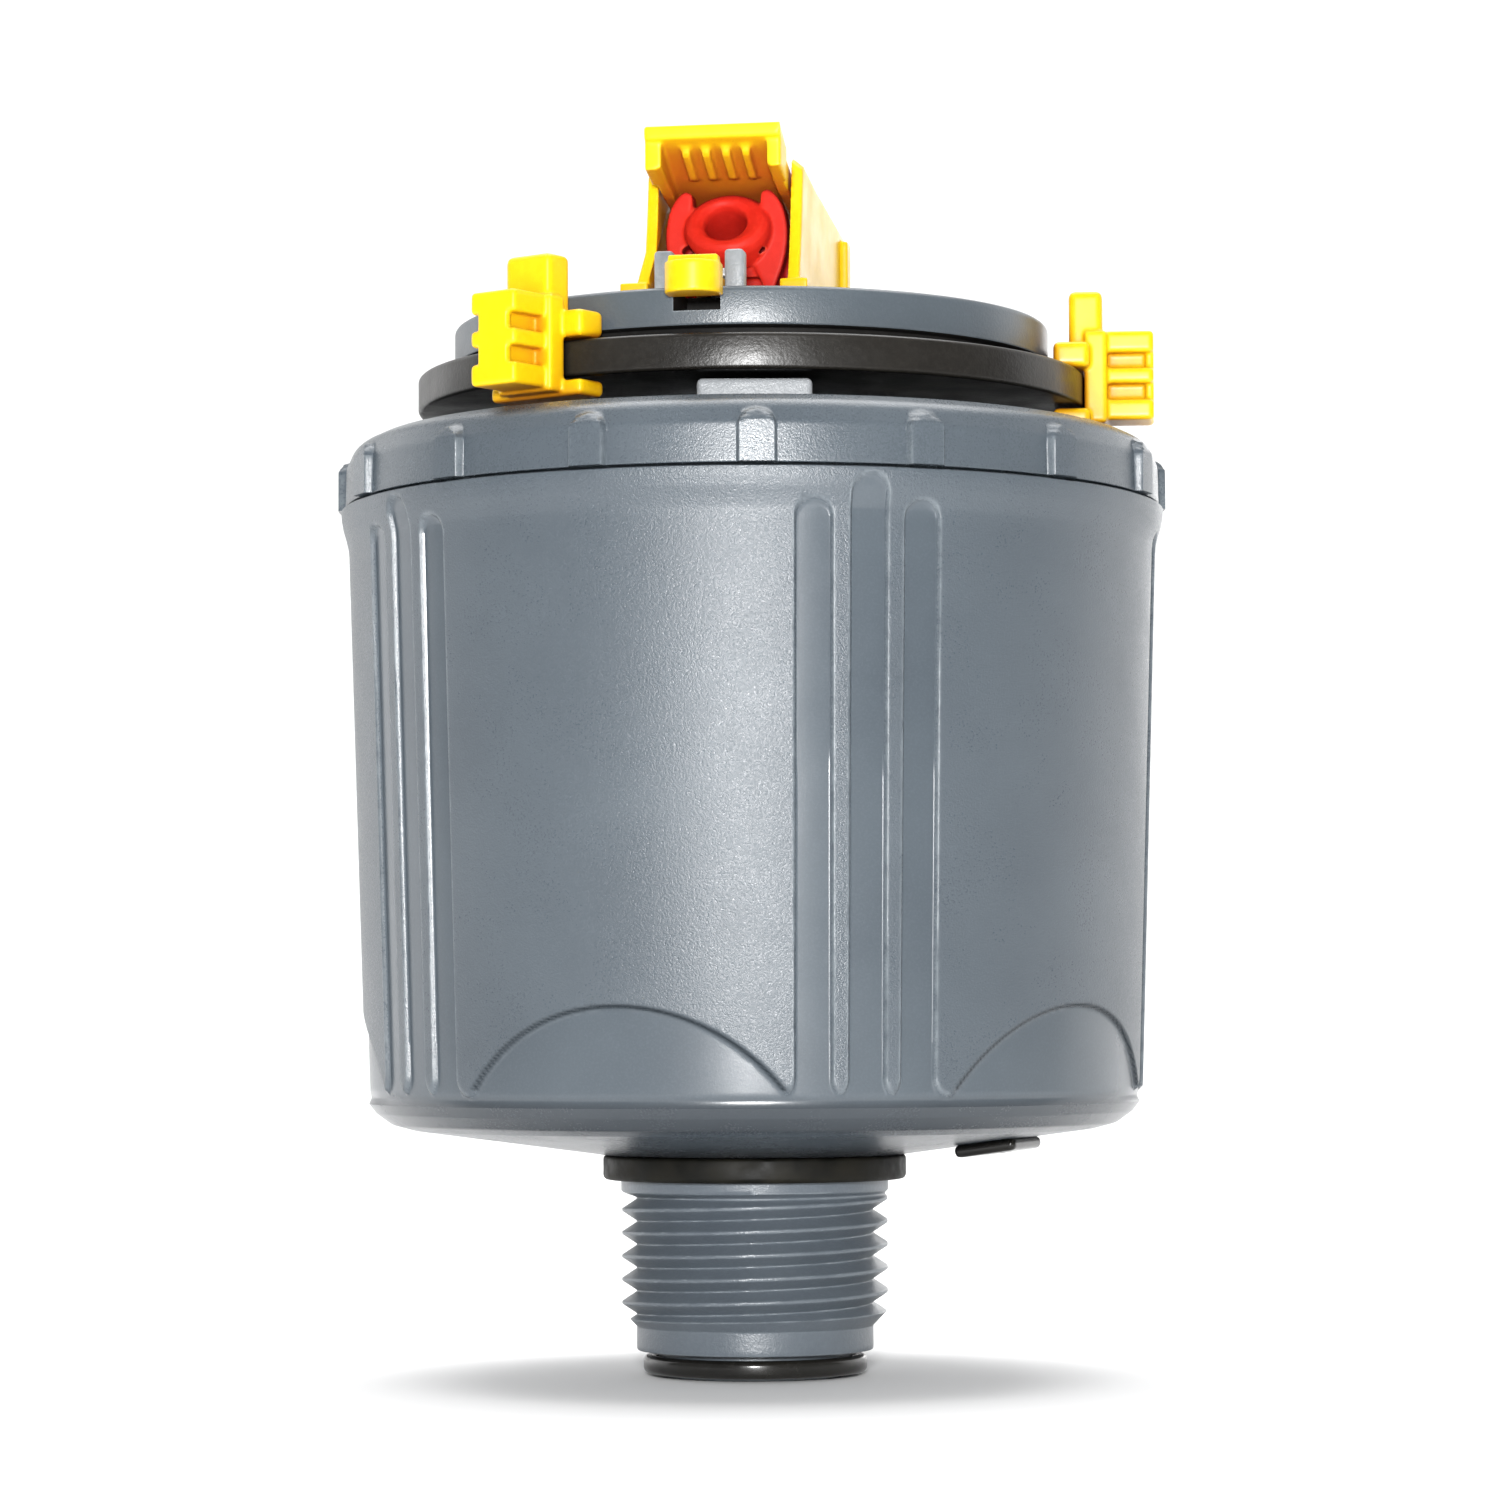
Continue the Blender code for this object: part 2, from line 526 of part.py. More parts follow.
# right wing, (x, z)
wing = [(2.8, 91.2), (2.8, 91.85), (3.6, 91.85), (4.3, 90.9), (4.7, 89.5), (4.7, 87.4),
        (4.35, 86.0), (3.6, 84.0), (3.05, 84.0), (2.6, 86.0), (3.3, 87.4), (3.7, 88.8),
        (3.5, 90.2)]
nozzle = box("nozzle", -4.6, 4.6, -2.4, 9.6, 82.8, 87.3)
add(nozzle, along("barrel", 2.9, -6.8, 0.0), along("lip", 2.3, -1.0, 0.7),
    outline("wing_left", [(-x, z) for x, z in wing], 9.5, 11.0, "front"),
    outline("wing_right", wing, 9.5, 11.0, "front"),
    box("cheek", -4.7, 4.7, 7.0, 9.8, 83.6, 88.6),
    box("chin", -3.9, 3.9, 8.9, 10.8, 84.9, 87.2), parent=turret_axis)
cut(nozzle, along("jet_bore", 1.6, -8.5, 2.0, 16),
    rod("feed_bore", 2.4, 82.0, 86.35, (0, -1.8), 16), parent=turret_axis)
part(nozzle, RED, turret_axis)

# visor: sheet under its top line (u, z), side legs, ribs underneath
top_line = [(16.8, 95.7), (10.9, 93.5), (5.2, 92.2), (-2.3, 91.7), (-9.5, 91.0)]
leg = [(16.6, 95.3)] + [(u, z - 0.2) for u, z in top_line[1:-1]]
leg += [(-9.3, 90.8), (-9.3, 88.8), (-2.3, 89.6), (5.2, 90.6), (10.9, 91.6), (16.2, 92.9)]
rib = strip([(u, z - 0.8) for u, z in ((16.0, 95.4), (13.6, 94.5), (11.8, 93.83))], 0.6)
visor = outline("visor", strip(top_line, 1.0), -4.85, 4.85, "side")
origin_to(visor, VISOR_U, VISOR_Z)
add(visor, outline("leg_left", leg, -4.8, -4.0, "side"),
    outline("leg_right", leg, 4.0, 4.8, "side"),
    joined("ribs", [outline("rib", rib, x - 0.3, x + 0.3, "side")
                    for x in (-2.33, -0.78, 0.78, 2.33)]), parent=turret_axis)
cut(visor, visor_rod("visor_pin_way", 0.9, 9, 16), parent=turret_axis)
part(visor, YELLOW, turret_axis)

# trip lever, pivoted on the disc, its knob hanging over the disc's edge
KNOB_R = 2.1
lever = rod("trip_lever", 1.8, 83.1, 84.3, PIVOT_AT, 20)
origin_to(lever, PIVOT_U, 0)
knob = [(KNOB_R, -23.95), (-KNOB_R, -23.95)] + arc(0, -25.1, KNOB_R, 180, 360, 10)
add(lever, box("lever_arm", -1.0, 1.0, PIVOT_U, 24.6, 83.15, 84.1),
    outline("knob", knob, 81.3, 84.2), parent=turret_axis)
cut(lever, rod("lever_bore", 1.05, 82, 86, PIVOT_AT, 16), parent=turret_axis)
part(lever, YELLOW, turret_axis)
headed("trip_pivot_pin", "pp_head", PIVOT_AT, (0.7, 80.5, 84.9), (1.5, 84.65, 85.2),
       turret_axis)


# ---------------------------------------------------------------- stop clips
def stop_clip(name, angle):
    """Two hooks on a web, a finned spine outside it and a stem standing on top."""
    web = box(name, -2.6, 2.6, 26.8, 28.3, 74.6, 81.9)
    stem = box("stem", -1.95, 1.95, 25.3, 27.9, 80.5, 84.8)
    bevel_edges(stem)
    fins = [box("fin", -2.15, 2.15, 28.1, 31.9, z0, z1)
            for z0, z1 in ((74.85, 76.5), (77.75, 79.0), (80.2, 81.9))]
    add(web, box("hook_low", -4.4, 4.4, 24.1, 27.0, 74.35, 75.5),
        box("hook_top", -4.4, 4.4, 24.1, 27.0, 78.9, 80.8),
        box("spine", -1.1, 1.1, 28.0, 31.6, 75.1, 81.7), *fins, stem, parent=web)
    web.rotation_euler = (0, 0, math.radians(angle))
    part(web, YELLOW)


stop_clip("stop_clip_left", CLIP_LEFT)
stop_clip("stop_clip_right", CLIP_RIGHT)

for ob in (spigot, casing, cap, bpy.data.objects["stop_ring"], disc):
    ob.data.shade_smooth()
    ob.data.set_sharp_from_angle(angle=math.radians(30))
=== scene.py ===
"""Looks for the motorised rotary head.

The head stands upright on Z with its threaded spigot at the foot, and its front faces -Y.
The turret on top is turned 10 degrees clockwise seen from above. Builders work in
millimetres. "front" values in them are distances from the axis towards -Y.
"""
import bpy
import bmesh
import math
import numpy as np
from mathutils import Matrix, Vector


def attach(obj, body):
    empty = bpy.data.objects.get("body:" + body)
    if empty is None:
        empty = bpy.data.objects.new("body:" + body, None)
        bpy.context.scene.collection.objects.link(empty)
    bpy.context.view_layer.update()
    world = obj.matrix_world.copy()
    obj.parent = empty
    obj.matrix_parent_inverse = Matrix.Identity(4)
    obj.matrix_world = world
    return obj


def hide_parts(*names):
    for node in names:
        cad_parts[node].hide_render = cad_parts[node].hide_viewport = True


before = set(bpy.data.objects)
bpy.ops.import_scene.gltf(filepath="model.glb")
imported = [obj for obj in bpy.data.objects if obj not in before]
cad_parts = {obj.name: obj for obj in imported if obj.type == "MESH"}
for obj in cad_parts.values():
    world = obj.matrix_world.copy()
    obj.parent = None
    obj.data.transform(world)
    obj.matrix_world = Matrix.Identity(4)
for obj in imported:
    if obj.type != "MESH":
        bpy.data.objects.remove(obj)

MM = 0.001
TURRET = Matrix.Rotation(math.radians(-10.0), 4, "Z")
scene = bpy.context.scene


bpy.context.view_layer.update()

# Places shared by several pieces, mm
LEVER_PIVOT = (0, -14.0)                # x, y
BRACKET_SCREWS = ((-2.5, 8.0), (2.5, 8.0))  # x, y
VISOR_PIN = (0, 8.0, 90.0)              # x, y, z
CAP_FOOT = 68.03                        # height of the cap ring's lower edge
CENTRE_BORE = 5.9                       # radius through the bearing plate and stop ring


# ------------------------------------------------------------------ shader helper
class Shader:
    """A Principled material and short ways to add nodes to it."""

    def __init__(self, name):
        self.material = bpy.data.materials.get(name) or bpy.data.materials.new(name)
        self.material.use_nodes = True
        self.tree = self.material.node_tree
        self.tree.nodes.clear()
        output = self.new("OutputMaterial")
        principled = self.new("BsdfPrincipled")
        self.inputs = principled.inputs
        self.link(principled.outputs[0], output.inputs[0])
        self.coords = self.new("TexCoord").outputs["Object"]

    def new(self, kind, **settings):
        """Add a node; a setting is an input value if an input has its name."""
        node = self.tree.nodes.new("ShaderNode" + kind)
        for key, value in settings.items():
            if key in node.inputs:
                node.inputs[key].default_value = value
            else:
                setattr(node, key, value)
        return node

    def link(self, source, target):
        self.tree.links.new(source, target)

    def feed(self, target, value):
        """Give an input a number, a colour or a link."""
        if isinstance(value, (int, float)):
            target.default_value = value
        elif isinstance(value, tuple):
            target.default_value = (*value, 1)
        else:
            self.link(value, target)

    def noise(self, per_mm, detail=2.0, rough=0.5):
        node = self.new("TexNoise", Scale=per_mm * 1000, Detail=detail, Roughness=rough)
        self.link(self.coords, node.inputs["Vector"])
        return node.outputs["Fac"]

    def ramp(self, value, low, high, start=0.35, end=0.65):
        """Map a value from start..end to low..high, which are numbers or colours."""
        node = self.new("ValToRGB")
        stops = node.color_ramp.elements
        stops[0].position, stops[1].position = start, end
        for stop, shade in zip(stops, (low, high)):
            rgb = (shade,) * 3 if isinstance(shade, (int, float)) else shade
            stop.color = (*rgb, 1)
        self.link(value, node.inputs[0])
        return node.outputs[0]

    def maths(self, operation, *values):
        node = self.new("Math", operation=operation)
        for target, value in zip(node.inputs, values):
            self.feed(target, value)
        return node.outputs[0]

    def mix(self, factor, first, second):
        node = self.new("Mix", data_type="RGBA")
        for index, value in ((0, factor), (6, first), (7, second)):
            self.feed(node.inputs[index], value)
        return node.outputs[2]

    def attribute(self, name):
        return self.new("Attribute", attribute_name=name).outputs["Fac"]

    def edges(self, radius=0.0002):
        """1 on sharp edges, where a rounded and a plain normal differ. Radius in metres."""
        bevel = self.new("Bevel", Radius=radius, samples=4)
        geometry = self.new("NewGeometry")
        dot = self.new("VectorMath", operation="DOT_PRODUCT")
        self.link(bevel.outputs[0], dot.inputs[0])
        self.link(geometry.outputs["Normal"], dot.inputs[1])
        return self.ramp(dot.outputs["Value"], low=1.0, high=0.0, start=0.93, end=0.999)

    def bump(self, height, strength, distance):
        node = self.new("Bump", Distance=distance)
        self.feed(node.inputs["Strength"], strength)
        self.link(height, node.inputs["Height"])
        self.link(node.outputs[0], self.inputs["Normal"])


# ------------------------------------------------------------------ material kinds
def casing_shading(mat, colour, spec):
    """Painted shade below, at the foot, in the mouth and round the arches; painted highlight on the
    rims. Returns the colour.
    """
    split = mat.new("SeparateXYZ")
    mat.link(mat.coords, split.inputs[0])
    # metres to decimetres, so a ramp's 0 to 1 spans 100 mm
    x, y, z = (mat.maths("MULTIPLY", split.outputs[i], 10.0) for i in range(3))
    squares = mat.maths("ADD", mat.maths("MULTIPLY", x, x), mat.maths("MULTIPLY", y, y))
    away = mat.maths("SQRT", squares)

    def zone(away_ramp, height_ramp):
        """Ramps are low, high, start, end: over distance from the axis, then over height."""
        return mat.maths("MULTIPLY", mat.ramp(away, *away_ramp), mat.ramp(z, *height_ramp))

    # Painted shade: darker under the casing near the spigot, standing in for shade and for the
    # reflection of the dark gasket; darker on the downward-facing foot rounding and inside the
    # mouth.
    underside = zone((0.85, 0.28, 0.125, 0.205), (1.0, 0.0, 0.19, 0.20))
    foot = zone((0.0, 0.5, 0.272, 0.285), (1.0, 0.0, 0.216, 0.221))
    mouth = zone((0.9, 0.0, 0.276, 0.284), (0.0, 1.0, 0.60, 0.61))
    shade_zones = mat.maths("ADD", mat.maths("ADD", underside, foot), mouth)
    colour = mat.mix(shade_zones, colour, (0.022, 0.023, 0.026))
    # Pale lines on the rims of the flutes, the foot and the cap pads: a painted highlight.
    rim = mat.attribute("edge")
    patches = mat.ramp(mat.noise(per_mm=0.8, detail=3), low=0.05, high=0.42, start=0.3, end=0.65)
    colour = mat.mix(mat.maths("MULTIPLY", rim, patches), colour, (0.25, 0.28, 0.30))
    # Dark lines round the arches: painted shade on the downward-facing steps.
    arch_step_shade = mat.attribute("arch_step_shade")
    colour = mat.mix(mat.maths("MULTIPLY", arch_step_shade, 0.85), colour, (0.012, 0.015, 0.018))
    open_skin = mat.maths("SUBTRACT", 1.0, arch_step_shade)
    shine = mat.ramp(z, low=0.08, high=spec, start=0.193, end=0.212)
    mat.link(mat.maths("MULTIPLY", open_skin, shine), mat.inputs["Specular IOR Level"])
    return colour


def smooth_areas(mat, rough, fine, strength):
    """Take the grain away where the vertex value 'smooth' is 1."""
    smooth = mat.attribute("smooth")
    grained = mat.maths("SUBTRACT", 1.0, smooth)
    uneven = mat.ramp(fine, low=0.0, high=0.12, start=0.35, end=0.65)
    uneven = mat.maths("SUBTRACT", uneven, 0.06)
    rough = mat.maths("ADD", rough, mat.maths("MULTIPLY", grained, uneven))
    strength = mat.maths("ADD", mat.maths("MULTIPLY", grained, strength * 0.9), strength * 0.1)
    rough = mat.maths("SUBTRACT", rough, mat.maths("MULTIPLY", smooth, 0.09))
    return rough, strength


def plastic(name, dark, light, rough, grain, depth, strength, edge_highlight=None, casing=False,
            spec=0.5, sss=0.0, hollow=None, hollow_mm=5.0, dull_hollows=False):
    """Moulded plastic: mottled colour, uneven gloss and fine grain.

    grain is per mm and depth in metres. The pale edge colour is a painted highlight on sharp edges,
    hollow is painted shade in places closed in within hollow_mm, and casing adds the casing's own
    painted shade and painted highlights.
    """
    mat = Shader(name)
    cloud = mat.noise(per_mm=0.09, detail=3)
    fine = mat.noise(per_mm=grain, detail=2.5, rough=0.6)
    speck = mat.noise(per_mm=grain * 2.4, detail=1.5, rough=0.6)
    colour = mat.ramp(cloud, dark, light, start=0.3, end=0.7)
    paler = tuple(min(1.0, c * 1.25 + 0.01) for c in light)
    colour = mat.mix(mat.ramp(fine, low=0.0, high=0.22, start=0.45, end=0.7), colour, paler)
    # Sharp edges take a paler colour: a painted highlight.
    if edge_highlight:
        edges = mat.edges()
        patches = mat.ramp(mat.noise(per_mm=0.5, detail=2), low=0.15, high=0.75)
        colour = mat.mix(mat.maths("MULTIPLY", edges, patches), colour, edge_highlight)
    # Places closed in take the hollow colour: painted shade, found by ambient occlusion.
    if hollow:
        openness = mat.new("AmbientOcclusion", Distance=hollow_mm * MM, samples=6).outputs["AO"]
        closed_in = mat.ramp(openness, low=1.0, high=0.0, start=0.18, end=0.72)
        colour = mat.mix(closed_in, colour, hollow)
    if casing:
        colour = casing_shading(mat, colour, spec)
    mat.link(colour, mat.inputs["Base Color"])

    gloss = mat.noise(per_mm=0.25, detail=4)
    gloss = mat.ramp(gloss, low=rough[0], high=rough[1], start=0.3, end=0.7)
    height = mat.maths("ADD", fine, mat.maths("MULTIPLY", speck, 0.6))
    if casing:
        gloss, strength = smooth_areas(mat, gloss, fine, strength)
    mat.link(gloss, mat.inputs["Roughness"])
    mat.bump(height, strength, depth)
    mat.inputs["Specular IOR Level"].default_value = spec
    if dull_hollows:
        shine = mat.ramp(openness, low=0.02, high=spec, start=0.3, end=0.8)
        mat.link(shine, mat.inputs["Specular IOR Level"])
    mat.inputs["Coat Roughness"].default_value = 0.25
    if sss:
        mat.inputs["Subsurface Weight"].default_value = sss
        mat.inputs["Subsurface Radius"].default_value = (1.0, 0.6, 0.2)
        mat.inputs["Subsurface Scale"].default_value = 0.0012
    return mat.material


def rubber():
    mat = Shader("black_rubber")
    colour = mat.ramp(mat.noise(per_mm=0.4, detail=3), (0.003, 0.003, 0.002), (0.010, 0.009, 0.006))
    mat.link(colour, mat.inputs["Base Color"])
    gloss = mat.ramp(mat.noise(per_mm=0.8, detail=3), low=0.45, high=0.65)
    mat.link(gloss, mat.inputs["Roughness"])
    mat.inputs["Specular IOR Level"].default_value = 0.18
    mat.bump(mat.noise(per_mm=4.0, detail=2), strength=0.35, distance=0.00002)
    return mat.material


def steel():
    mat = Shader("stainless")
    mat.inputs["Metallic"].default_value = 1.0
    colour = mat.ramp(mat.noise(per_mm=0.6, detail=4), (0.42, 0.43, 0.44), (0.62, 0.62, 0.62))
    mat.link(colour, mat.inputs["Base Color"])
    gloss = mat.ramp(mat.noise(per_mm=2.0, detail=3), low=0.2, high=0.42)
    mat.link(gloss, mat.inputs["Roughness"])
    mat.bump(mat.noise(per_mm=6.0, detail=2), strength=0.3, distance=0.000008)
    return mat.material


# ------------------------------------------------------------------ materials
# The pale edge colours given to the materials below are painted highlights on sharp edges.
BRIGHT_GRAIN = dict(grain=1.6, depth=0.000012, strength=0.35)
YELLOW_LOOK = dict(dark=(0.75, 0.455, 0.0), light=(0.82, 0.515, 0.001), rough=(0.3, 0.42),
                   edge_highlight=(0.92, 0.74, 0.06), **BRIGHT_GRAIN)

GREY = plastic("grey_grained", dark=(0.058, 0.072, 0.086), light=(0.070, 0.086, 0.101),
               rough=(0.315, 0.355), grain=5.6, depth=0.000042, strength=0.88,
               casing=True, spec=0.6)
THREAD = plastic("grey_thread", dark=(0.078, 0.094, 0.112), light=(0.098, 0.116, 0.134),
                 rough=(0.30, 0.42), grain=3.2, depth=0.00004, strength=0.6,
                 edge_highlight=(0.26, 0.29, 0.31), spec=0.55)
GREY_FINE = plastic("grey_satin", dark=(0.060, 0.074, 0.087), light=(0.072, 0.088, 0.102),
                    rough=(0.30, 0.38), grain=4.4, depth=0.00004, strength=0.5,
                    edge_highlight=(0.22, 0.25, 0.27), spec=0.55)
LIGHT = plastic("light_grey", dark=(0.27, 0.285, 0.30), light=(0.36, 0.375, 0.39),
                rough=(0.34, 0.46), grain=3.0, depth=0.00007, strength=0.8,
                edge_highlight=(0.5, 0.5, 0.5))
BLACK = plastic("black_gloss", dark=(0.004, 0.004, 0.004), light=(0.012, 0.011, 0.009),
                rough=(0.14, 0.26), grain=2.0, depth=0.00001, strength=0.3,
                edge_highlight=(0.06, 0.055, 0.05), spec=0.4)
# Each hollow colour below is painted shade where the piece is closed in: near black on the ring,
# orange on the yellow pieces, dark red on the nozzle.
RING = plastic("black_turned", dark=(0.007, 0.006, 0.005), light=(0.018, 0.016, 0.013),
               rough=(0.28, 0.40), grain=2.2, depth=0.00003, strength=0.6,
               edge_highlight=(0.08, 0.07, 0.06), spec=0.36,
               hollow=(0.001, 0.001, 0.001), hollow_mm=9.0, dull_hollows=True)
VISOR = plastic("yellow_visor", spec=0.25, hollow=(0.42, 0.085, 0.010), hollow_mm=18.0,
                **YELLOW_LOOK)
YELLOW = plastic("yellow_moulded", spec=0.3, hollow=(0.42, 0.13, 0.004), hollow_mm=6.0,
                 **YELLOW_LOOK)
RED = plastic("red_moulded", dark=(0.50, 0.013, 0.007), light=(0.60, 0.022, 0.011),
              rough=(0.42, 0.55), edge_highlight=(0.92, 0.13, 0.07), spec=0.11,
              hollow=(0.22, 0.008, 0.008), hollow_mm=3.0, **BRIGHT_GRAIN)
SHADE = plastic("slot_shade", dark=(0.006, 0.006, 0.006), light=(0.016, 0.015, 0.014),
                rough=(0.5, 0.7), grain=2.0, depth=0.00001, strength=0.3, spec=0.06)
POST = plastic("post_grey", dark=(0.11, 0.13, 0.145), light=(0.30, 0.31, 0.32),
               rough=(0.3, 0.45), grain=1.6, depth=0.00007, strength=0.7,
               edge_highlight=(0.45, 0.46, 0.47))
WHITE = plastic("natural_acetal", dark=(0.66, 0.65, 0.60), light=(0.78, 0.77, 0.72),
                rough=(0.35, 0.5), grain=2.0, depth=0.000012, strength=0.35,
                edge_highlight=(0.9, 0.9, 0.87), sss=0.1)
RUBBER = rubber()
STEEL = steel()


# ------------------------------------------------------------------ mesh tools
def to_mesh(work, name="tmp"):
    """Turn a bmesh into a mesh and free it."""
    mesh = bpy.data.meshes.new(name)
    work.to_mesh(mesh)
    work.free()
    return mesh


def link_object(name, mesh):
    piece = bpy.data.objects.new(name, mesh)
    scene.collection.objects.link(piece)
    return piece


def shade(mesh, sharp):
    """Smooth shading, with edges above the angle in degrees kept sharp."""
    mesh.shade_smooth()
    if sharp:
        mesh.set_sharp_from_angle(angle=math.radians(sharp))


def finish(piece, material, body, replaces, sharp=32):
    """Give a piece its material and shading and enter it in the frame."""
    piece.data.materials.clear()
    piece.data.materials.append(material)
    shade(piece.data, sharp)
    if replaces:
        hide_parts(replaces)
    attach(piece, body)
    return piece


def grid_body(name, section, angles, push=None, values=None):
    """A closed section of (radius, height) carried round Z.

    Angles are degrees from -Y towards +X. push(angle, radius, height, row) gives a change
    of radius; values maps vertex attribute names to functions of the same arguments.
    """
    section = np.array(section, float)
    angles = np.radians(np.asarray(angles, float))
    rows, columns = len(section), len(angles)
    radius = np.repeat(section[:, 0:1], columns, 1)
    height = np.repeat(section[:, 1:2], columns, 1)
    angle = np.repeat(angles[None, :], rows, 0)
    row = np.repeat(np.arange(rows)[:, None], columns, 1)
    if push is not None:
        radius = radius + push(angle, radius, height, row)
    points = np.stack((radius * np.sin(angle), -radius * np.cos(angle), height), -1)
    points = points.reshape(-1, 3) * MM
    i, j = np.meshgrid(np.arange(rows), np.arange(columns), indexing="ij")
    next_i, next_j = (i + 1) % rows, (j + 1) % columns
    quads = np.stack((i * columns + j, next_i * columns + j,
                      next_i * columns + next_j, i * columns + next_j), -1).reshape(-1, 4)
    mesh = bpy.data.meshes.new(name)
    mesh.vertices.add(len(points))
    mesh.vertices.foreach_set("co", points.ravel().astype(np.float32))
    mesh.loops.add(quads.size)
    mesh.loops.foreach_set("vertex_index", quads.ravel().astype(np.int32))
    mesh.polygons.add(len(quads))
    mesh.polygons.foreach_set("loop_start", (np.arange(len(quads)) * 4).astype(np.int32))
    mesh.update(calc_edges=True)
    for key, value in (values or {}).items():
        layer = mesh.attributes.new(key, "FLOAT", "POINT")
        layer.data.foreach_set(
            "value", value(angle, radius, height, row).ravel().astype(np.float32))
    mesh.validate()
    work = bmesh.new()
    work.from_mesh(mesh)
    bmesh.ops.recalc_face_normals(work, faces=work.faces)
    work.to_mesh(mesh)
    work.free()
    return link_object(name, mesh)


def even(value):
    """A vertex value that is the same everywhere."""
    return lambda angle, radius, height, row: np.full(angle.shape, value)


def rounded(points, segments=4):
    """Round a section's corners: each point is (radius, height) or has a corner radius third."""
    out = []
    for i, point in enumerate(points):
        corner_radius = point[2] if len(point) > 2 else 0
        before = Vector(points[i - 1][:2])
        corner = Vector(point[:2])
        after = Vector(points[(i + 1) % len(points)][:2])
        if not corner_radius:
            out.append(tuple(corner))
            continue
        back, ahead = (before - corner).normalized(), (after - corner).normalized()
        half = math.acos(max(-1, min(1, back.dot(ahead)))) / 2
        inset = min(corner_radius / math.tan(half), (before - corner).length * 0.49,
                    (after - corner).length * 0.49)
        arc_radius = inset * math.tan(half)
        centre = corner + (back + ahead).normalized() * (arc_radius / math.sin(half))
        start, end = corner + back * inset - centre, corner + ahead * inset - centre
        sweep = start.angle_signed(end)
        for k in range(segments + 1):
            turn = -sweep * k / segments
            out.append((centre.x + start.x * math.cos(turn) - start.y * math.sin(turn),
                        centre.y + start.x * math.sin(turn) + start.y * math.cos(turn)))
    return out


def ring(name, points, steps, material, body, replaces, segments=4):
    """A plain turned ring with rounded corners."""
    piece = grid_body(name, rounded(points, segments), np.arange(steps) * 360 / steps)
    return finish(piece, material, body, replaces)


# Solids: each function below returns a builder that adds its shape to an empty bmesh.
def box(x_span, front_span, z_span, bevel=0.0, segments=4):
    (left, right), (rear, front), (low, high) = x_span, front_span, z_span
    size = Vector((right - left, front - rear, high - low))
    middle = Vector((left + right, -rear - front, low + high)) / 2

    def build(work):
        verts = bmesh.ops.create_cube(work, size=1.0)["verts"]
        matrix = Matrix.Translation(middle) @ Matrix.Diagonal((*size, 1))
        bmesh.ops.transform(work, matrix=matrix, verts=verts)
        if bevel:
            bmesh.ops.bevel(work, geom=work.edges[:], offset=bevel, segments=segments,
                            profile=0.5, affect="EDGES")
    return build


def rod(radius, low, high, at=(0, 0), segments=48, place=None):
    """A cylinder along Z at (x, y), then moved by place."""
    def build(work):
        verts = bmesh.ops.create_cone(work, cap_ends=True, segments=segments, radius1=radius,
                                      radius2=radius, depth=high - low)["verts"]
        bmesh.ops.translate(work, vec=Vector((*at, (low + high) / 2)), verts=verts)
        if place is not None:
            bmesh.ops.transform(work, matrix=place, verts=verts)
    return build


# Where an outline's two values and the thickness go
PLANES = {"side": lambda front, z, x: (x, -front, z),
          "top": lambda x, y, z: (x, y, z),
          "front": lambda x, z, front: (x, -front, z)}


def prism(outline, start, end, plane):
    """A flat outline given thickness from start to end."""
    put = PLANES[plane]

    def build(work):
        lower = [work.verts.new(put(a, b, start)) for a, b in outline]
        upper = [work.verts.new(put(a, b, end)) for a, b in outline]
        faces = [work.faces.new(lower), work.faces.new(upper)]
        for i in range(len(outline)):
            j = (i + 1) % len(outline)
            faces.append(work.faces.new((lower[i], lower[j], upper[j], upper[i])))
        bmesh.ops.recalc_face_normals(work, faces=faces)
    return build


def solid_mesh(build):
    work = bmesh.new()
    build(work)
    bmesh.ops.recalc_face_normals(work, faces=work.faces)
    return to_mesh(work)


def evaluated(piece):
    bpy.context.view_layer.update()
    graph = bpy.context.evaluated_depsgraph_get()
    return bpy.data.meshes.new_from_object(piece.evaluated_get(graph))


def add_boolean(piece, operation, tool):
    boolean = piece.modifiers.new("b", "BOOLEAN")
    boolean.operation, boolean.object, boolean.solver = operation, tool, "EXACT"


def add_remesh(piece, size):
    remesh = piece.modifiers.new("r", "REMESH")
    remesh.mode, remesh.voxel_size, remesh.adaptivity = "VOXEL", size, 0.0


def placed_solid(build, place):
    """A solid as an object, taken from mm to metres and moved by place."""
    piece = link_object("tmp", solid_mesh(build))
    piece.data.transform(Matrix.Scale(MM, 4))
    piece.data.transform(place)
    return piece


def carve(piece, steps, place=Matrix()):
    """Apply (operation, builder) steps to a finished piece. Returns its new mesh."""
    tools = []
    for operation, build in steps:
        tools.append(placed_solid(build, place))
        add_boolean(piece, operation, tools[-1])
    mesh = evaluated(piece)
    piece.modifiers.clear()
    piece.data = mesh
    for tool in tools:
        bpy.data.objects.remove(tool, do_unlink=True)
    shade(mesh, 32)
    return mesh


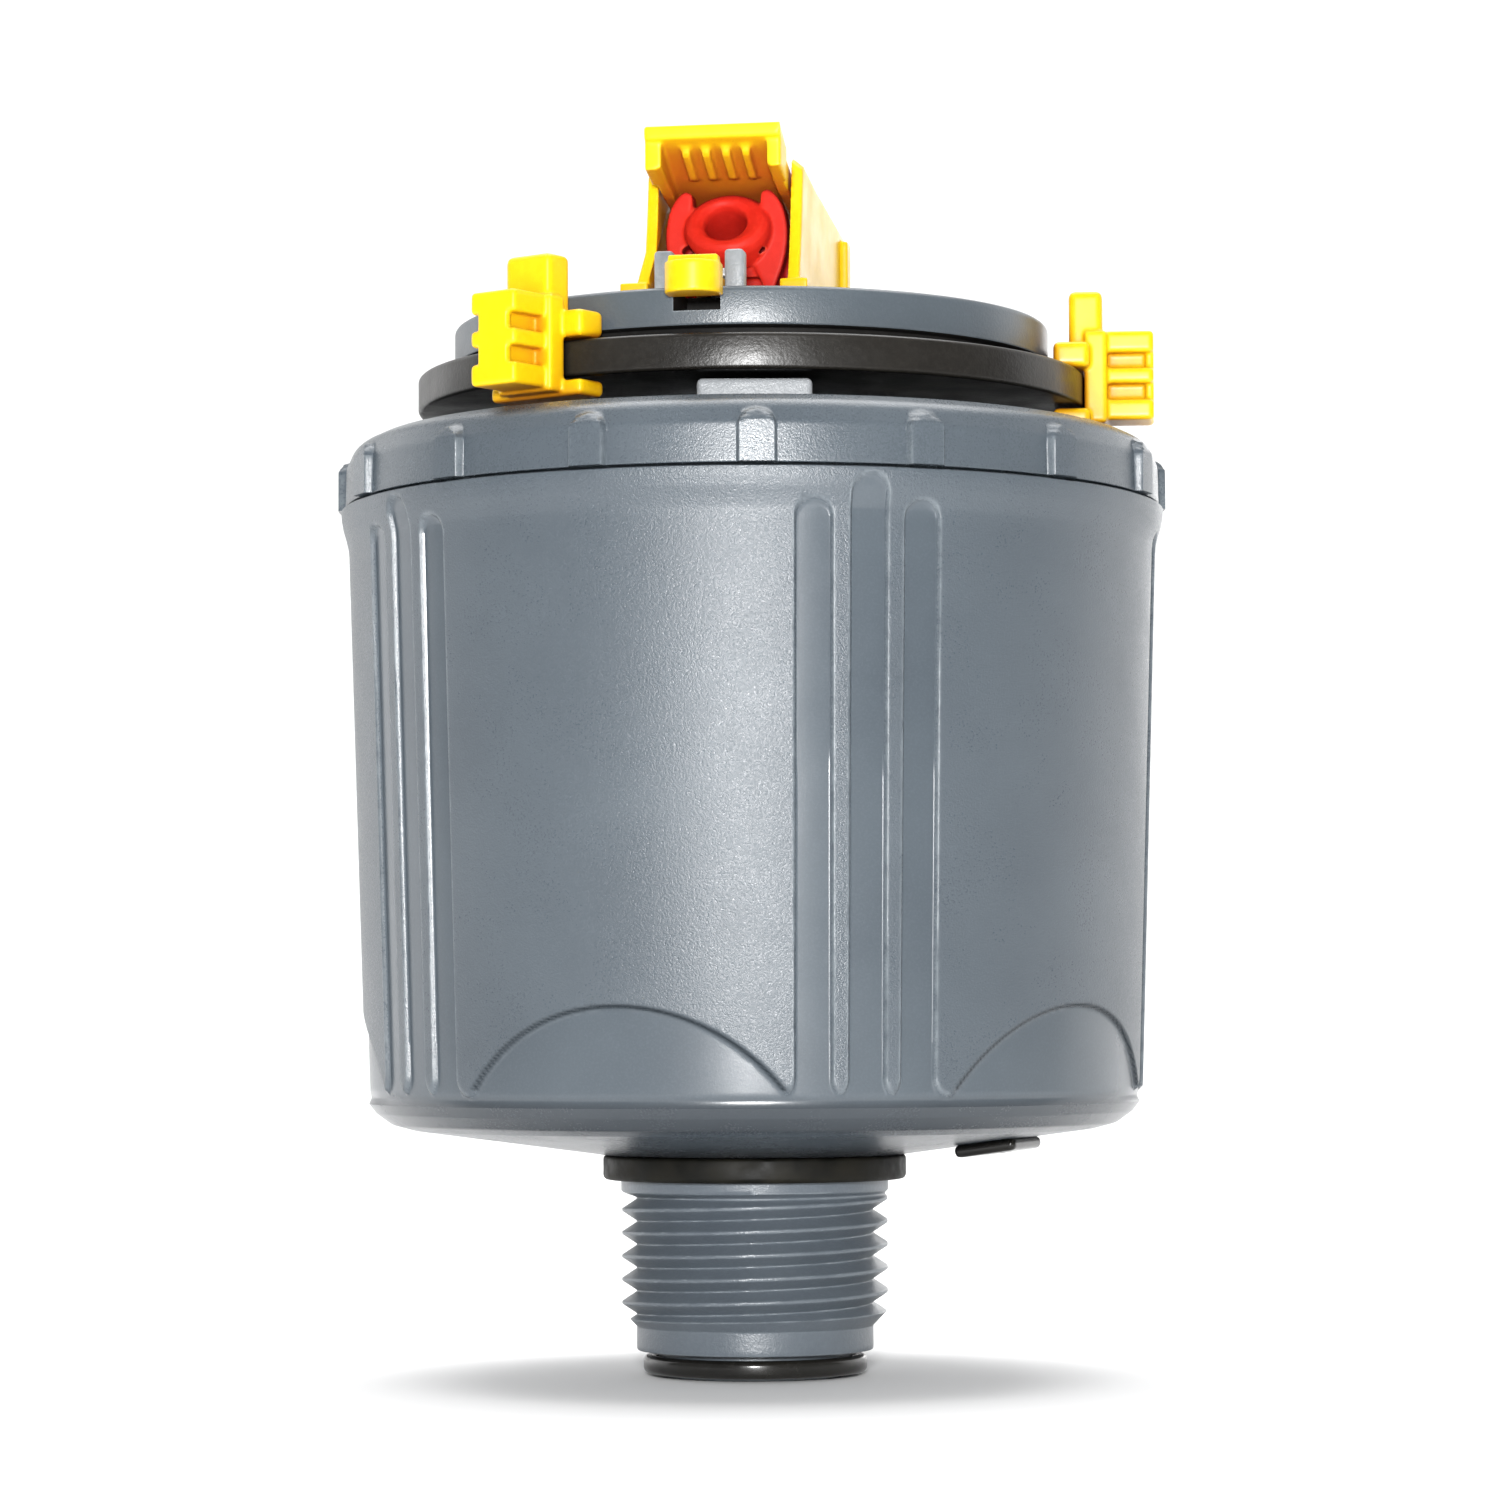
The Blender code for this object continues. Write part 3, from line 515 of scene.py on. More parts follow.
def moulded(name, adds, cuts, material, body, replaces, voxel, smooth, place):
    """Union of solids less the cuts, remeshed finely so that every edge is softly rounded
    as on a moulding. Built in mm about the local axes, then placed."""
    size = voxel * 1.0
    work = bmesh.new()
    for build in adds:
        part = solid_mesh(build)
        work.from_mesh(part)
        bpy.data.meshes.remove(part)
    base = link_object("tmp", to_mesh(work))
    add_remesh(base, size)
    tools = [link_object("tmp", solid_mesh(build)) for build in cuts]
    for tool in tools:
        add_boolean(base, "DIFFERENCE", tool)
    if cuts:
        add_remesh(base, size)
    soften = base.modifiers.new("s", "SMOOTH")
    soften.factor, soften.iterations = 0.5, smooth
    mesh = evaluated(base)
    for temporary in tools + [base]:
        bpy.data.objects.remove(temporary, do_unlink=True)
    mesh.transform(Matrix.Scale(MM, 4))
    mesh.transform(place)
    mesh.name = name
    finish(link_object(name, mesh), material, body, replaces, sharp=None)


# ------------------------------------------------------------------ shaping functions
def smoothstep(x):
    x = np.clip(x, 0, 1)
    return x * x * (3 - 2 * x)


def smooth_min(first, second, blend):
    share = np.clip(0.5 + 0.5 * (second - first) / blend, 0, 1)
    return second * (1 - share) + first * share - blend * share * (1 - share)


def line_at(distance, centre, width):
    """A soft line along one value of a distance."""
    return np.exp(-((distance - centre) / width) ** 2)


def round_top(across, height, top, half_width):
    """Signed distance to an upright strip with a round top."""
    above = np.maximum(height - (top - half_width), 0)
    return np.sqrt(across ** 2 + above ** 2) - half_width


def angle_set(edges, offsets, coarse):
    """Angles round the circle: an even base, with extra columns at each edge."""
    fine = {round((edge + offset) % 360, 4) for edge in edges for offset in offsets}
    near = np.array(sorted(edges)) % 360
    clear = abs(min(offsets)) + coarse * 0.3
    keep = {base for base in np.arange(0, 360, coarse)
            if np.min(np.abs((base - near + 180) % 360 - 180)) > clear}
    ordered = sorted(keep | fine)
    out = [ordered[0]]
    for value in ordered[1:]:
        if value - out[-1] > 0.02:
            out.append(value)
    return out


# ------------------------------------------------------------------ casing
# Outer line of the raised skin: height, radius
SKIN = [(19.25, 26.8), (19.7, 28.6), (20.8, 29.9), (21.6, 30.45), (22.3, 30.6), (64.3, 31.94),
        (65.0, 32.0), (65.7, 32.17), (66.5, 32.4), (67.2, 32.53), (68.0, 32.6)]
PANELS = 5
PANEL_STEP = 360 / PANELS               # degrees
FLUTE_CENTRE, FLUTE_STEP = 15.5, 7.45   # degrees: first middle flute, flute to flute
FLUTE_HALF = 1.36
FLUTE_TOPS = ((-1, 65.7), (0, 67.45), (1, 65.7))  # place in the group of three, top height
ARCH_CENTRE = -19.5                     # degrees
ARCH_HALF = 30.8 * math.sin(math.radians(24.3))
ARCH_RISE, ARCH_TOP = 6.3, 28.8
ARCH_RADIUS = (ARCH_HALF ** 2 + ARCH_RISE ** 2) / (2 * ARCH_RISE)
FOOT_BAND_TOP = 22.15
RECESS_DEPTH, RECESS_WALL = 0.36, 0.26  # depth of a recess, width of its sloping edge


def casing_radius(height):
    return np.interp(height, *zip(*SKIN))


def casing_arc(angle, height, centre):
    """Distance round the skin from an angle given in degrees."""
    turn = (np.degrees(angle) - centre + 180) % 360 - 180
    return turn * math.pi / 180 * casing_radius(height)


def flutes_and_foot(angle, height):
    """Signed distance, negative inside, to the flutes and the smooth band at the foot."""
    best = np.full(angle.shape, 99.0)
    for panel in range(PANELS):
        for place, top in FLUTE_TOPS:
            centre = FLUTE_CENTRE + PANEL_STEP * panel + place * FLUTE_STEP
            across = casing_arc(angle, height, centre)
            best = np.minimum(best, round_top(across, height, top, FLUTE_HALF))
    return smooth_min(best, height - FOOT_BAND_TOP, 1.5)


def arches(angle, height):
    """Signed distance to the low arches between the flute groups."""
    best = np.full(angle.shape, 99.0)
    for panel in range(PANELS):
        across = casing_arc(angle, height, ARCH_CENTRE + PANEL_STEP * panel)
        rise = height - (ARCH_TOP - ARCH_RADIUS)
        best = np.minimum(best, np.sqrt(across ** 2 + rise ** 2) - ARCH_RADIUS)
    return best


def in_recess(angle, height):
    """1 in the smooth recesses, falling to 0 outside."""
    distance = np.minimum(flutes_and_foot(angle, height), arches(angle, height))
    return smoothstep(0.5 - distance / RECESS_WALL)


def casing():
    flute_edge = 2.5  # degrees from a flute's centre
    edges = [FLUTE_CENTRE + PANEL_STEP * panel + place * FLUTE_STEP + side * flute_edge
             for panel in range(PANELS) for place in (-1, 0, 1) for side in (-1, 1)]
    offsets = (-0.62, -0.42, -0.26, -0.13, 0.0, 0.13, 0.26, 0.42, 0.62)
    angles = angle_set(edges, offsets, 0.55)
    heights = [*np.arange(67.75, 63.4, -0.18), *np.arange(63.3, 30.5, -2.6),
               *np.arange(29.6, 21.62, -0.19)]
    # section, radius and height: skin from the top down, underside, then the inner wall
    rows = [(32.45, 67.96), (32.57, 67.88)]
    rows += [(float(casing_radius(z)), float(z)) for z in heights]
    skin_rows = len(rows)
    rows += rounded([(30.45, 21.6), (30.32, 21.35, 0.1), (29.75, 20.6, 0.8), (28.5, 19.7, 1.2),
                     (26.8, 19.25, 2.0), (12.05, 17.27, 0.3), (10.9, 17.25)])[1:-1]
    rows += [(10.9, 17.25), (10.9, 19.8), (15.5, 19.8), (26.0, 21.3), (28.4, 23.5),
             (29.95, 64.6), (29.95, 67.96), (31.2, 68.0)]

    def push(angle, radius, height, row):
        below_lip = np.where(row < 2, 0, 1)
        sink = -RECESS_DEPTH * in_recess(angle, height) * below_lip
        return np.where(row < skin_rows, sink, 0.0)

    def smooth(angle, radius, height, row):
        hidden = np.where(height < 22.3, 0.8, 0.3)
        return np.where(row < skin_rows, in_recess(angle, height), hidden)

    def edge(angle, radius, height, row):
        """Painted highlight: the pale line on the rims of the flutes and the foot."""
        distance = np.where(arches(angle, height) < 0.3, 99.0, flutes_and_foot(angle, height))
        return np.where(row < skin_rows, line_at(distance, centre=0.1, width=0.13), 0.0)

    def arch_step_shade(angle, radius, height, row):
        """Painted shade: the dark line round each arch, on its downward-facing step."""
        line = line_at(arches(angle, height), centre=0.02, width=0.16)
        return np.where((row < skin_rows) & (height > 22.6), line, 0.0)

    piece = grid_body("casing_moulding", rows, angles, push,
                      {"smooth": smooth, "edge": edge, "arch_step_shade": arch_step_shade})
    finish(piece, GREY, "root", "casing", sharp=40)


# ------------------------------------------------------------------ cap ring
def cap_ring():
    """The ring above the casing, with upright pads round its rim."""
    pads, pad_half, pad_top, first_pad = 16, 1.375, 72.15, 0.6
    rim_radius = 32.3
    pad_step = 360 / pads
    half_angle = math.degrees(pad_half / rim_radius)
    edges = [first_pad + pad_step * pad + side * half_angle
             for pad in range(pads) for side in (-1, 1)]
    offsets = (-0.4, -0.24, -0.12, 0.0, 0.12, 0.24, 0.4)
    angles = angle_set(edges, offsets, 0.75)
    line = rounded([(27.2, 73.5, 0.3), (29.9, 73.5, 1.2), (31.5, 72.75, 1.6),
                    (32.18, 71.2, 1.2), (32.25, CAP_FOOT, 0.1)], 6)
    # resample the outer line finely beyond radius 29.5
    points = [np.array(point) for point in line]
    rows = []
    for start, end in zip(points[:-1], points[1:]):
        length = float(np.linalg.norm(end - start))
        spacing = 0.15
        count = max(1, int(round(length / spacing))) if start[0] > 29.5 else 1
        rows += [tuple(start + (end - start) * k / count) for k in range(count)]
    rows.append(tuple(points[-1]))
    outer_rows = len(rows)
    rows += [(29.98, CAP_FOOT), (29.9, 67.9), (29.9, 62.0), (28.1, 62.0), (28.1, 71.8),
             (27.2, 71.8)]

    def pad_distance(angle, height):
        turn = (np.degrees(angle) - first_pad + pad_step / 2) % pad_step - pad_step / 2
        return round_top(turn * math.pi / 180 * rim_radius, height, pad_top, pad_half)

    def push(angle, radius, height, row):
        on_pad = smoothstep(0.5 - pad_distance(angle, height) / 0.22)
        target = 32.84 - 0.40 * smoothstep((height - 71.2) / 0.9)
        lift = np.clip(target - radius, 0, 1.6)
        foot = smoothstep((height - CAP_FOOT) / 0.12)
        return np.where((row < outer_rows) & (radius > 30.3), lift * on_pad * foot, 0.0)

    # Painted highlight: a pale line round each pad below its top.
    def edge(angle, radius, height, row):
        line = line_at(pad_distance(angle, height), centre=-0.04, width=0.12)
        return np.where((row < outer_rows) & (height < 71.1), line, 0.0)

    piece = grid_body("cap_ring_moulding", rows, angles, push,
                      {"smooth": even(0.45), "edge": edge})
    finish(piece, GREY, "root", "cap_ring", sharp=40)


# ------------------------------------------------------------------ threaded spigot
def spigot():
    bore, shoulder = 6.3, 10.55
    crest, root, pitch, thread_zero = 10.478, 9.32, 1.814, 4.75
    steps = 160
    rows = rounded([(bore, 21.9), (15.0, 21.9), (15.0, 20.1), (shoulder, 20.1),
                    (shoulder, 14.75)])
    thread_start = len(rows)
    rows += [(root, float(z)) for z in np.arange(14.45, 2.3, -(0.07))]
    thread_end = len(rows)
    rows += rounded([(root, 2.25), (9.3, 1.95, 0.25), (7.6, 1.9), (7.6, 0.0, 0.3),
                     (bore, 0.0, 0.3)])[1:]

    def push(angle, radius, height, row):
        turn = (angle - math.pi / 2) / (2 * math.pi)  # counter-clockwise from +X
        phase = (height - thread_zero) / pitch - turn
        off_crest = np.abs(phase - np.round(phase)) * pitch
        thread = np.clip(crest + 0.16 - off_crest * 1.52, root, crest)
        lead_in = 9.40 + (height - 3.9) * 0.95
        thread = np.minimum(thread, np.maximum(lead_in, root))
        run_out = smoothstep((height - 13.9) / 0.6)
        thread = thread * (1 - run_out) + np.maximum(thread, shoulder) * run_out
        return np.where((row >= thread_start) & (row < thread_end), thread - radius, 0.0)

    piece = grid_body("spigot_moulding", rows, np.arange(steps) * 360 / steps, push,
                      {"smooth": even(0.9)})
    finish(piece, THREAD, "root", "spigot", sharp=50)


# ------------------------------------------------------------------ turret
def turret():
    """The top disc and its hollow stem, with two posts, slot, windows and screw seats."""
    bore, stem, disc, step = 3.5, 5.5, 23.6, 22.6  # radii
    under, foot = 78.9, 46.0                       # heights
    piece = ring("turret_moulding",
                 [(bore, 82.5, 0.3), (disc, 82.55, 0.45), (disc, 79.55, 0.25), (step, 79.5, 0.1),
                  (step, under), (stem, under), (stem, foot), (bore, foot)],
                 192, GREY_FINE, "turret", None)
    steps = [("UNION", box(span, (21.15, 22.85), (82.0, 85.4), bevel=0.28, segments=3))
             for span in ((-3.4, -1.96), (1.96, 3.4))]
    cuts = [box((-1.8, 1.8), (18.0, 24.5), (80.7, 83.0)),  # lever slot
            box((-8, 8), (-1.5, 1.5), (55.5, 61.5)),       # windows through the stem
            box((-1.5, 1.5), (-8, 8), (55.5, 61.5)),
            rod(1.0, 80.2, 83.5, LEVER_PIVOT, 32)]
    cuts += [rod(1.2, 79.9, 83.5, at, 32) for at in BRACKET_SCREWS]
    mesh = carve(piece, steps + [("DIFFERENCE", cut) for cut in cuts], TURRET)
    mesh.materials.clear()
    for material in (GREY_FINE, SHADE, POST):
        mesh.materials.append(material)
    unturn = TURRET.inverted()
    # The slot and the underside of the rim take the dark shade material: painted shade.
    for face in mesh.polygons:
        x, y, z = unturn @ face.center / MM
        if abs(x) < 1.85 and 17.9 < -y < 23.45 and 80.6 < z < 82.48:  # slot
            face.material_index = 1
        elif z > 82.9 and 21 < -y < 23:  # posts
            face.material_index = 2
        elif 78.85 < z < 79.6 and 20 < math.hypot(x, y) < 23.5:  # underside of the rim
            face.material_index = 1
    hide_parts("turret_disc")


# ------------------------------------------------------------------ plain rings
def plain_rings():
    inner, outer, top, foot = 10.85, 11.95, 17.22, 15.3
    ring("gasket_rubber",
         [(inner, top, 0.1), (outer, top, 0.3), (outer, foot, 0.4), (inner, foot, 0.15)],
         128, RUBBER, "root", "spigot_gasket")
    inner, outer, top, foot = 7.9, 8.8, 1.6, 0.2
    ring("nose_ring",
         [(inner, top, 0.3), (outer, top, 0.62), (outer, foot, 0.62), (inner, foot, 0.3)],
         128, BLACK, "root", "tip_o_ring", 6)
    outer, top, foot = 26.5, 78.6, 75.8
    ring("stop_ring_turned",
         [(CENTRE_BORE, top), (outer, top, 0.35), (outer, foot, 0.35), (CENTRE_BORE, foot)],
         192, RING, "root", "stop_ring", 5)


def bearing():
    """A flanged bearing plate with a block on its front edge."""
    hub, flange = 9.0, 27.8
    piece = ring("bearing_moulding",
                 [(CENTRE_BORE, 75.3), (hub, 75.3, 0.3), (hub, 71.2, 0.3), (flange, 71.2, 0.3),
                  (flange, 68.8, 0.3), (hub, 68.8), (hub, 66.0), (CENTRE_BORE, 66.0)],
                 128, LIGHT, "root", "bearing_plate")
    carve(piece, [("UNION", box((-4.1, 4.5), (21.9, 24.8), (70.5, 75.4), bevel=0.45))])


# ------------------------------------------------------------------ stop clips
# Boxes of a clip that faces -Y: x half width, front span, z span, bevel
CLIP_BOXES = [
    (2.6, (26.5, 28.3), (74.6, 81.9), 0.3),      # back plate
    (4.4, (24.1, 26.95), (74.35, 75.55), 0.35),  # lower jaw
    (4.4, (24.1, 26.95), (78.8, 80.8), 0.45),    # upper jaw
    (1.1, (27.6, 31.85), (75.0, 81.8), 0.12),    # upright web
    (1.4, (31.3, 31.95), (75.0, 81.8), 0.15),    # web's outer face
    (2.15, (25.3, 27.95), (79.8, 85.1), 0.5),    # upright tab
    (2.15, (27.6, 31.95), (74.85, 76.5), 0.32),  # three level bars
    (2.15, (27.6, 31.95), (77.75, 79.0), 0.32),
    (2.15, (27.6, 31.95), (80.2, 81.9), 0.32)]


def clip(name, node, body, angle):
    adds = [box((-half, half), front, z, bevel) for half, front, z, bevel in CLIP_BOXES]
    moulded(name, adds, [], YELLOW, body, node, voxel=0.12, smooth=5,
            place=Matrix.Rotation(math.radians(angle), 4, "Z"))


# ------------------------------------------------------------------ hood bracket
# Side wall outline: front, z
WALL = [(-11.5, 82.8), (14.3, 82.8), (13.5, 84.6), (12.8, 86.8), (12.2, 89.4), (11.8, 92.2),
        (11.5, 94.0), (10.6, 94.4), (5.2, 93.6), (-11.5, 91.9)]


def wall(side):
    """Side wall whose top edge falls away outwards; the left one's front foot is splayed."""
    def build(work):
        prism(WALL, side * 5.2, side * 6.1, "side")(work)
        for vert in work.verts:
            if abs(vert.co.x) > 6.0 and vert.co.z > 91.5:
                vert.co.z -= 0.75
            if side < 0 and vert.co.z < 85 and vert.co.y < -10:
                vert.co.x -= 0.45
    return build


def cross_pin(radius=0.9, half=9):
    """A rod along X at the visor's pin."""
    place = Matrix.Translation(VISOR_PIN) @ Matrix.Rotation(math.pi / 2, 4, "Y")
    return rod(radius, -half, half, segments=40, place=place)


def hood_bracket():
    adds = [wall(-1), wall(1),
            box((-5.6, 5.6), (-11.45, -2.9), (82.85, 83.75)),  # rear floor
            box((-5.6, 5.6), (-11.4, -10.5), (83.0, 88.0)),    # rear wall
            box((-7.7, -5.5), (12.4, 14.6), (82.85, 84.45)),   # front feet
            box((4.75, 6.9), (12.6, 14.6), (82.85, 84.45)),
            box((-6.7, -5.6), (-8.9, -7.1), (83.3, 90.9)),     # outer ribs at the pin
            box((5.6, 6.7), (-8.9, -7.1), (83.3, 90.9))]
    cuts = [cross_pin(half=6.15)] + [rod(1.2, 82, 85, at) for at in BRACKET_SCREWS]
    moulded("hood_bracket_moulding", adds, cuts, YELLOW, "turret",
            "hood_bracket", voxel=0.13, smooth=4, place=TURRET)


# ------------------------------------------------------------------ visor
def curve_line(points, count=6):
    """Catmull-Rom through the points."""
    out = []
    for i in range(len(points) - 1):
        corners = (points[max(i - 1, 0)], points[i], points[i + 1],
                   points[min(i + 2, len(points) - 1)])
        for k in range(count):
            t = k / count
            out.append(tuple(
                0.5 * ((2 * p1) + (p2 - p0) * t + (2 * p0 - 5 * p1 + 4 * p2 - p3) * t * t
                       + (3 * p1 - p0 - 3 * p2 + p3) * t ** 3)
                for p0, p1, p2, p3 in zip(*corners)))
    out.append(points[-1])
    return out


# Top line and lower edge of the side legs, front to rear and rear to front: front, z
VISOR_TOP = curve_line([(16.8, 96.1), (13.6, 94.65), (10.9, 93.6), (5.2, 92.2), (-2.3, 91.7),
                        (-9.5, 91.0)])
LEG_FOOT = [(-9.3, 90.6), (-9.3, 88.8), (-2.3, 89.6), (5.2, 90.6), (10.9, 91.5), (13.9, 92.2),
            (16.4, 92.95)]
LIP_TOP = [point for point in VISOR_TOP if point[0] > 13.4]
LIP_FOOT = [(13.4, 92.1), (16.4, 92.8)]


def visor_sheet(line):
    """Outline of a sheet 1 mm thick below the line."""
    return line + [(front - 0.05, z - 1.0) for front, z in reversed(line)]


def visor_leg(line, foot):
    return [(front, z - 0.15) for front, z in line if -9.2 < front < 16.7] + foot


def visor_rib(x):
    """A thin rib under the front of the visor, fading out rearwards."""
    line = [(front, z - 0.75) for front, z in VISOR_TOP if 11.3 < front < 16.2]
    low = [(front, z - 0.85 * min(1, (front - 11.0) / 1.5)) for front, z in line]
    low[0] = (low[0][0] - 0.35, low[0][1])
    return prism(line + low[::-1], x - 0.33, x + 0.33, "side")


def visor():
    leg, lip_leg = visor_leg(VISOR_TOP, LEG_FOOT), visor_leg(LIP_TOP, LIP_FOOT)
    # outline, x span
    parts = [(visor_sheet(VISOR_TOP), -5.0, 5.0), (visor_sheet(LIP_TOP), -5.38, 5.2),
             (lip_leg, -5.37, -4.45), (lip_leg, 4.35, 5.19),
             (leg, -4.99, -4.1), (leg, 4.1, 4.99)]
    adds = [prism(outline, left, right, "side") for outline, left, right in parts]
    adds += [visor_rib(x) for x in (-2.33, -0.78, 0.78, 2.33)]
    moulded("visor_moulding", adds, [cross_pin()], VISOR, "visor_body", "visor",
            voxel=0.13, smooth=4, place=TURRET)


# ------------------------------------------------------------------ nozzle
JET_RISE = math.radians(31.0)
MOUTH = Matrix.Translation((0, -11.0, 89.1)) @ Matrix.Rotation(math.pi / 2 - JET_RISE, 4, "X")
# Ring round the jet hole: radius, distance along the jet
MOUTH_SECTION = [(1.6, 0.0), (1.72, 0.55), (2.05, 0.85), (2.5, 0.85), (2.85, 0.55),
                 (3.05, 0.0), (3.1, -1.6), (1.5, -1.6)]
# Side wing, up over its top, down the outside and back up the inside: x, z
WING = curve_line([(2.65, 90.9), (2.75, 91.75), (3.3, 91.98), (3.95, 91.45), (4.5, 90.4),
                   (4.78, 88.9), (4.72, 87.4), (4.4, 86.0), (3.9, 84.6), (3.6, 83.6)], 4)
WING += curve_line([(3.0, 83.6), (2.8, 84.6), (2.2, 86.0), (2.2, 87.0), (2.6, 87.9),
                    (3.0, 89.0), (2.9, 90.2)], 4)


def mouth_ring(work):
    """The raised ring round the jet hole, its outside oval and shifted towards +X."""
    steps = 64
    rows = []
    for radius, along in MOUTH_SECTION:
        outside = radius > 2.0
        turns = [2 * math.pi * k / steps for k in range(steps)]
        rows.append([work.verts.new((
            radius * math.cos(turn) * (1.0 + 0.14 * outside) + 0.15 * outside,
            radius * math.sin(turn), along)) for turn in turns])
    for i, row in enumerate(rows):
        following = rows[(i + 1) % len(rows)]
        for k in range(steps):
            j = (k + 1) % steps
            work.faces.new((row[k], row[j], following[j], following[k]))
    bmesh.ops.transform(work, matrix=MOUTH, verts=work.verts[:])


def wing(side):
    return prism([(side * x, z) for x, z in WING], 9.2, 11.1, "front")


def pit(x):
    """A shallow oval hollow in the front face."""
    place = Matrix.Translation((x, -10.6, 87.35)) @ Matrix.Rotation(math.pi / 2, 4, "X") \
        @ Matrix.Diagonal((1.05, 0.62, 1, 1))
    return rod(0.72, -1.0, 1.0, segments=32, place=place)


def nozzle():
    adds = [box((-4.6, 4.6), (-2.4, 9.4), (82.8, 87.2)),
            rod(2.95, -6.8, -0.6, segments=64, place=MOUTH),
            mouth_ring, wing(-1), wing(1),
            box((-4.75, 4.75), (7.0, 9.7), (83.5, 88.6)),
            box((-3.5, 3.5), (8.8, 10.8), (85.2, 88.0)),
            box((-4.3, 4.3), (8.6, 10.0), (84.4, 90.3))]
    cuts = [rod(1.62, -8.5, 2.0, segments=64, place=MOUTH),
            rod(2.4, 82.0, 86.35, (0, -1.8)), pit(-2.75), pit(2.3)]
    moulded("nozzle_moulding", adds, cuts, RED, "turret", "nozzle",
            voxel=0.11, smooth=3, place=TURRET)


# ------------------------------------------------------------------ trip lever, drain plug
def trip_lever():
    knob_radius, knob_y, knob_rear = 2.1, -25.1, 23.95
    knob = [(knob_radius, -knob_rear), (-knob_radius, -knob_rear)]
    knob += [(knob_radius * math.cos(math.radians(degrees)),
              knob_y + knob_radius * math.sin(math.radians(degrees)))
             for degrees in range(180, 361, 6)]
    adds = [rod(1.8, 83.1, 84.3, LEVER_PIVOT),
            box((-1.0, 1.0), (-LEVER_PIVOT[1], 24.6), (83.15, 84.1)),
            prism(knob, 81.65, 84.0, "top"),
            box((-1.9, 1.9), (knob_rear, 25.3), (83.5, 84.65))]
    moulded("trip_lever_moulding", adds, [rod(1.05, 82, 86, LEVER_PIVOT)], YELLOW,
            "trip_lever_body", "trip_lever", voxel=0.12, smooth=3, place=TURRET)


def drain_plug():
    """A small slotted block, tilted to lie along the casing's sloping underside."""
    slope = math.atan2(2.0, 14.2)
    centre = Vector((0, -0.020, 0.01829))  # metres
    place = Matrix.Rotation(math.radians(70), 4, "Z") @ Matrix.Translation(centre) @ \
        Matrix.Rotation(-slope, 4, "X") @ Matrix.Translation(-centre)
    adds = [box((-3.75, 3.75), (17.5, 22.5), (17.42, 18.42), bevel=0.45),
            box((-0.7, 0.7), (19.0, 21.0), (17.5, 18.5))]
    moulded("drain_plug_moulding", adds, [box((-2.6, 2.6), (19.5, 20.5), (16.9, 17.75))],
            BLACK, "root", "drain_plug", voxel=0.12, smooth=3, place=place)


def visor_pin():
    pin = placed_solid(cross_pin(radius=0.6, half=6.3), TURRET)
    pin.name = "visor_pin_turned"
    finish(pin, STEEL, "turret", "visor_pin")


casing()
cap_ring()
spigot()
turret()
plain_rings()
bearing()
clip("left_stop_moulding", "stop_clip_left", "left_stop", angle=-37.1)
clip("right_stop_moulding", "stop_clip_right", "right_stop", angle=85.0)
hood_bracket()
visor()
nozzle()
trip_lever()
drain_plug()
visor_pin()

# ------------------------------------------------------------------ CAD pieces that stay
KEPT = [
    (WHITE, ("strainer", "stator_plate", "gearbox_can", "gearbox_lid", "turbine",
             "first_gear", "second_gear", "third_gear", "output_gear")),
    (RUBBER, ("cap_seal", "riser_seal")),
    (STEEL, ("thrust_washer", "retaining_clip", "gearbox_screw_1", "gearbox_screw_2",
             "gearbox_screw_3", "centre_axle", "idler_axle", "bracket_screw_1",
             "bracket_screw_2", "trip_pivot_pin"))]
for material, nodes in KEPT:
    for node in nodes:
        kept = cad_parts[node]
        if isinstance(kept, str):  # the frame may give an object's name
            kept = bpy.data.objects[kept]
        kept.data.materials.clear()
        kept.data.materials.append(material)


# ------------------------------------------------------------------ floor, world, lights, camera
def build_floor():
    """A floor that curves up into a wall behind the head. Metres."""
    half_width, bend_start, bend_radius, drop = 3.0, 0.9, 0.6, 0.0001
    profile = [(-1.2, 0.0), (bend_start, 0.0)]  # y, z
    profile += [(bend_start + bend_radius * math.sin(k * math.pi / 20),
                 bend_radius - bend_radius * math.cos(k * math.pi / 20)) for k in range(1, 11)]
    profile.append((bend_start + bend_radius, 2.4))
    work = bmesh.new()
    left, right = [[work.verts.new((x, y, z - drop)) for y, z in profile]
                   for x in (-half_width, half_width)]
    for i in range(len(profile) - 1):
        work.faces.new((left[i], left[i + 1], right[i + 1], right[i]))
    bmesh.ops.recalc_face_normals(work, faces=work.faces)
    floor = link_object("floor", to_mesh(work, "floor"))
    floor.data.shade_smooth()
    mat = Shader("pale_floor")
    colour = mat.ramp(mat.noise(per_mm=0.004, detail=3), (0.86, 0.86, 0.86), (0.90, 0.90, 0.90))
    mat.link(colour, mat.inputs["Base Color"])
    mat.inputs["Roughness"].default_value = 0.8
    mat.inputs["Specular IOR Level"].default_value = 0.1
    floor.data.materials.append(mat.material)


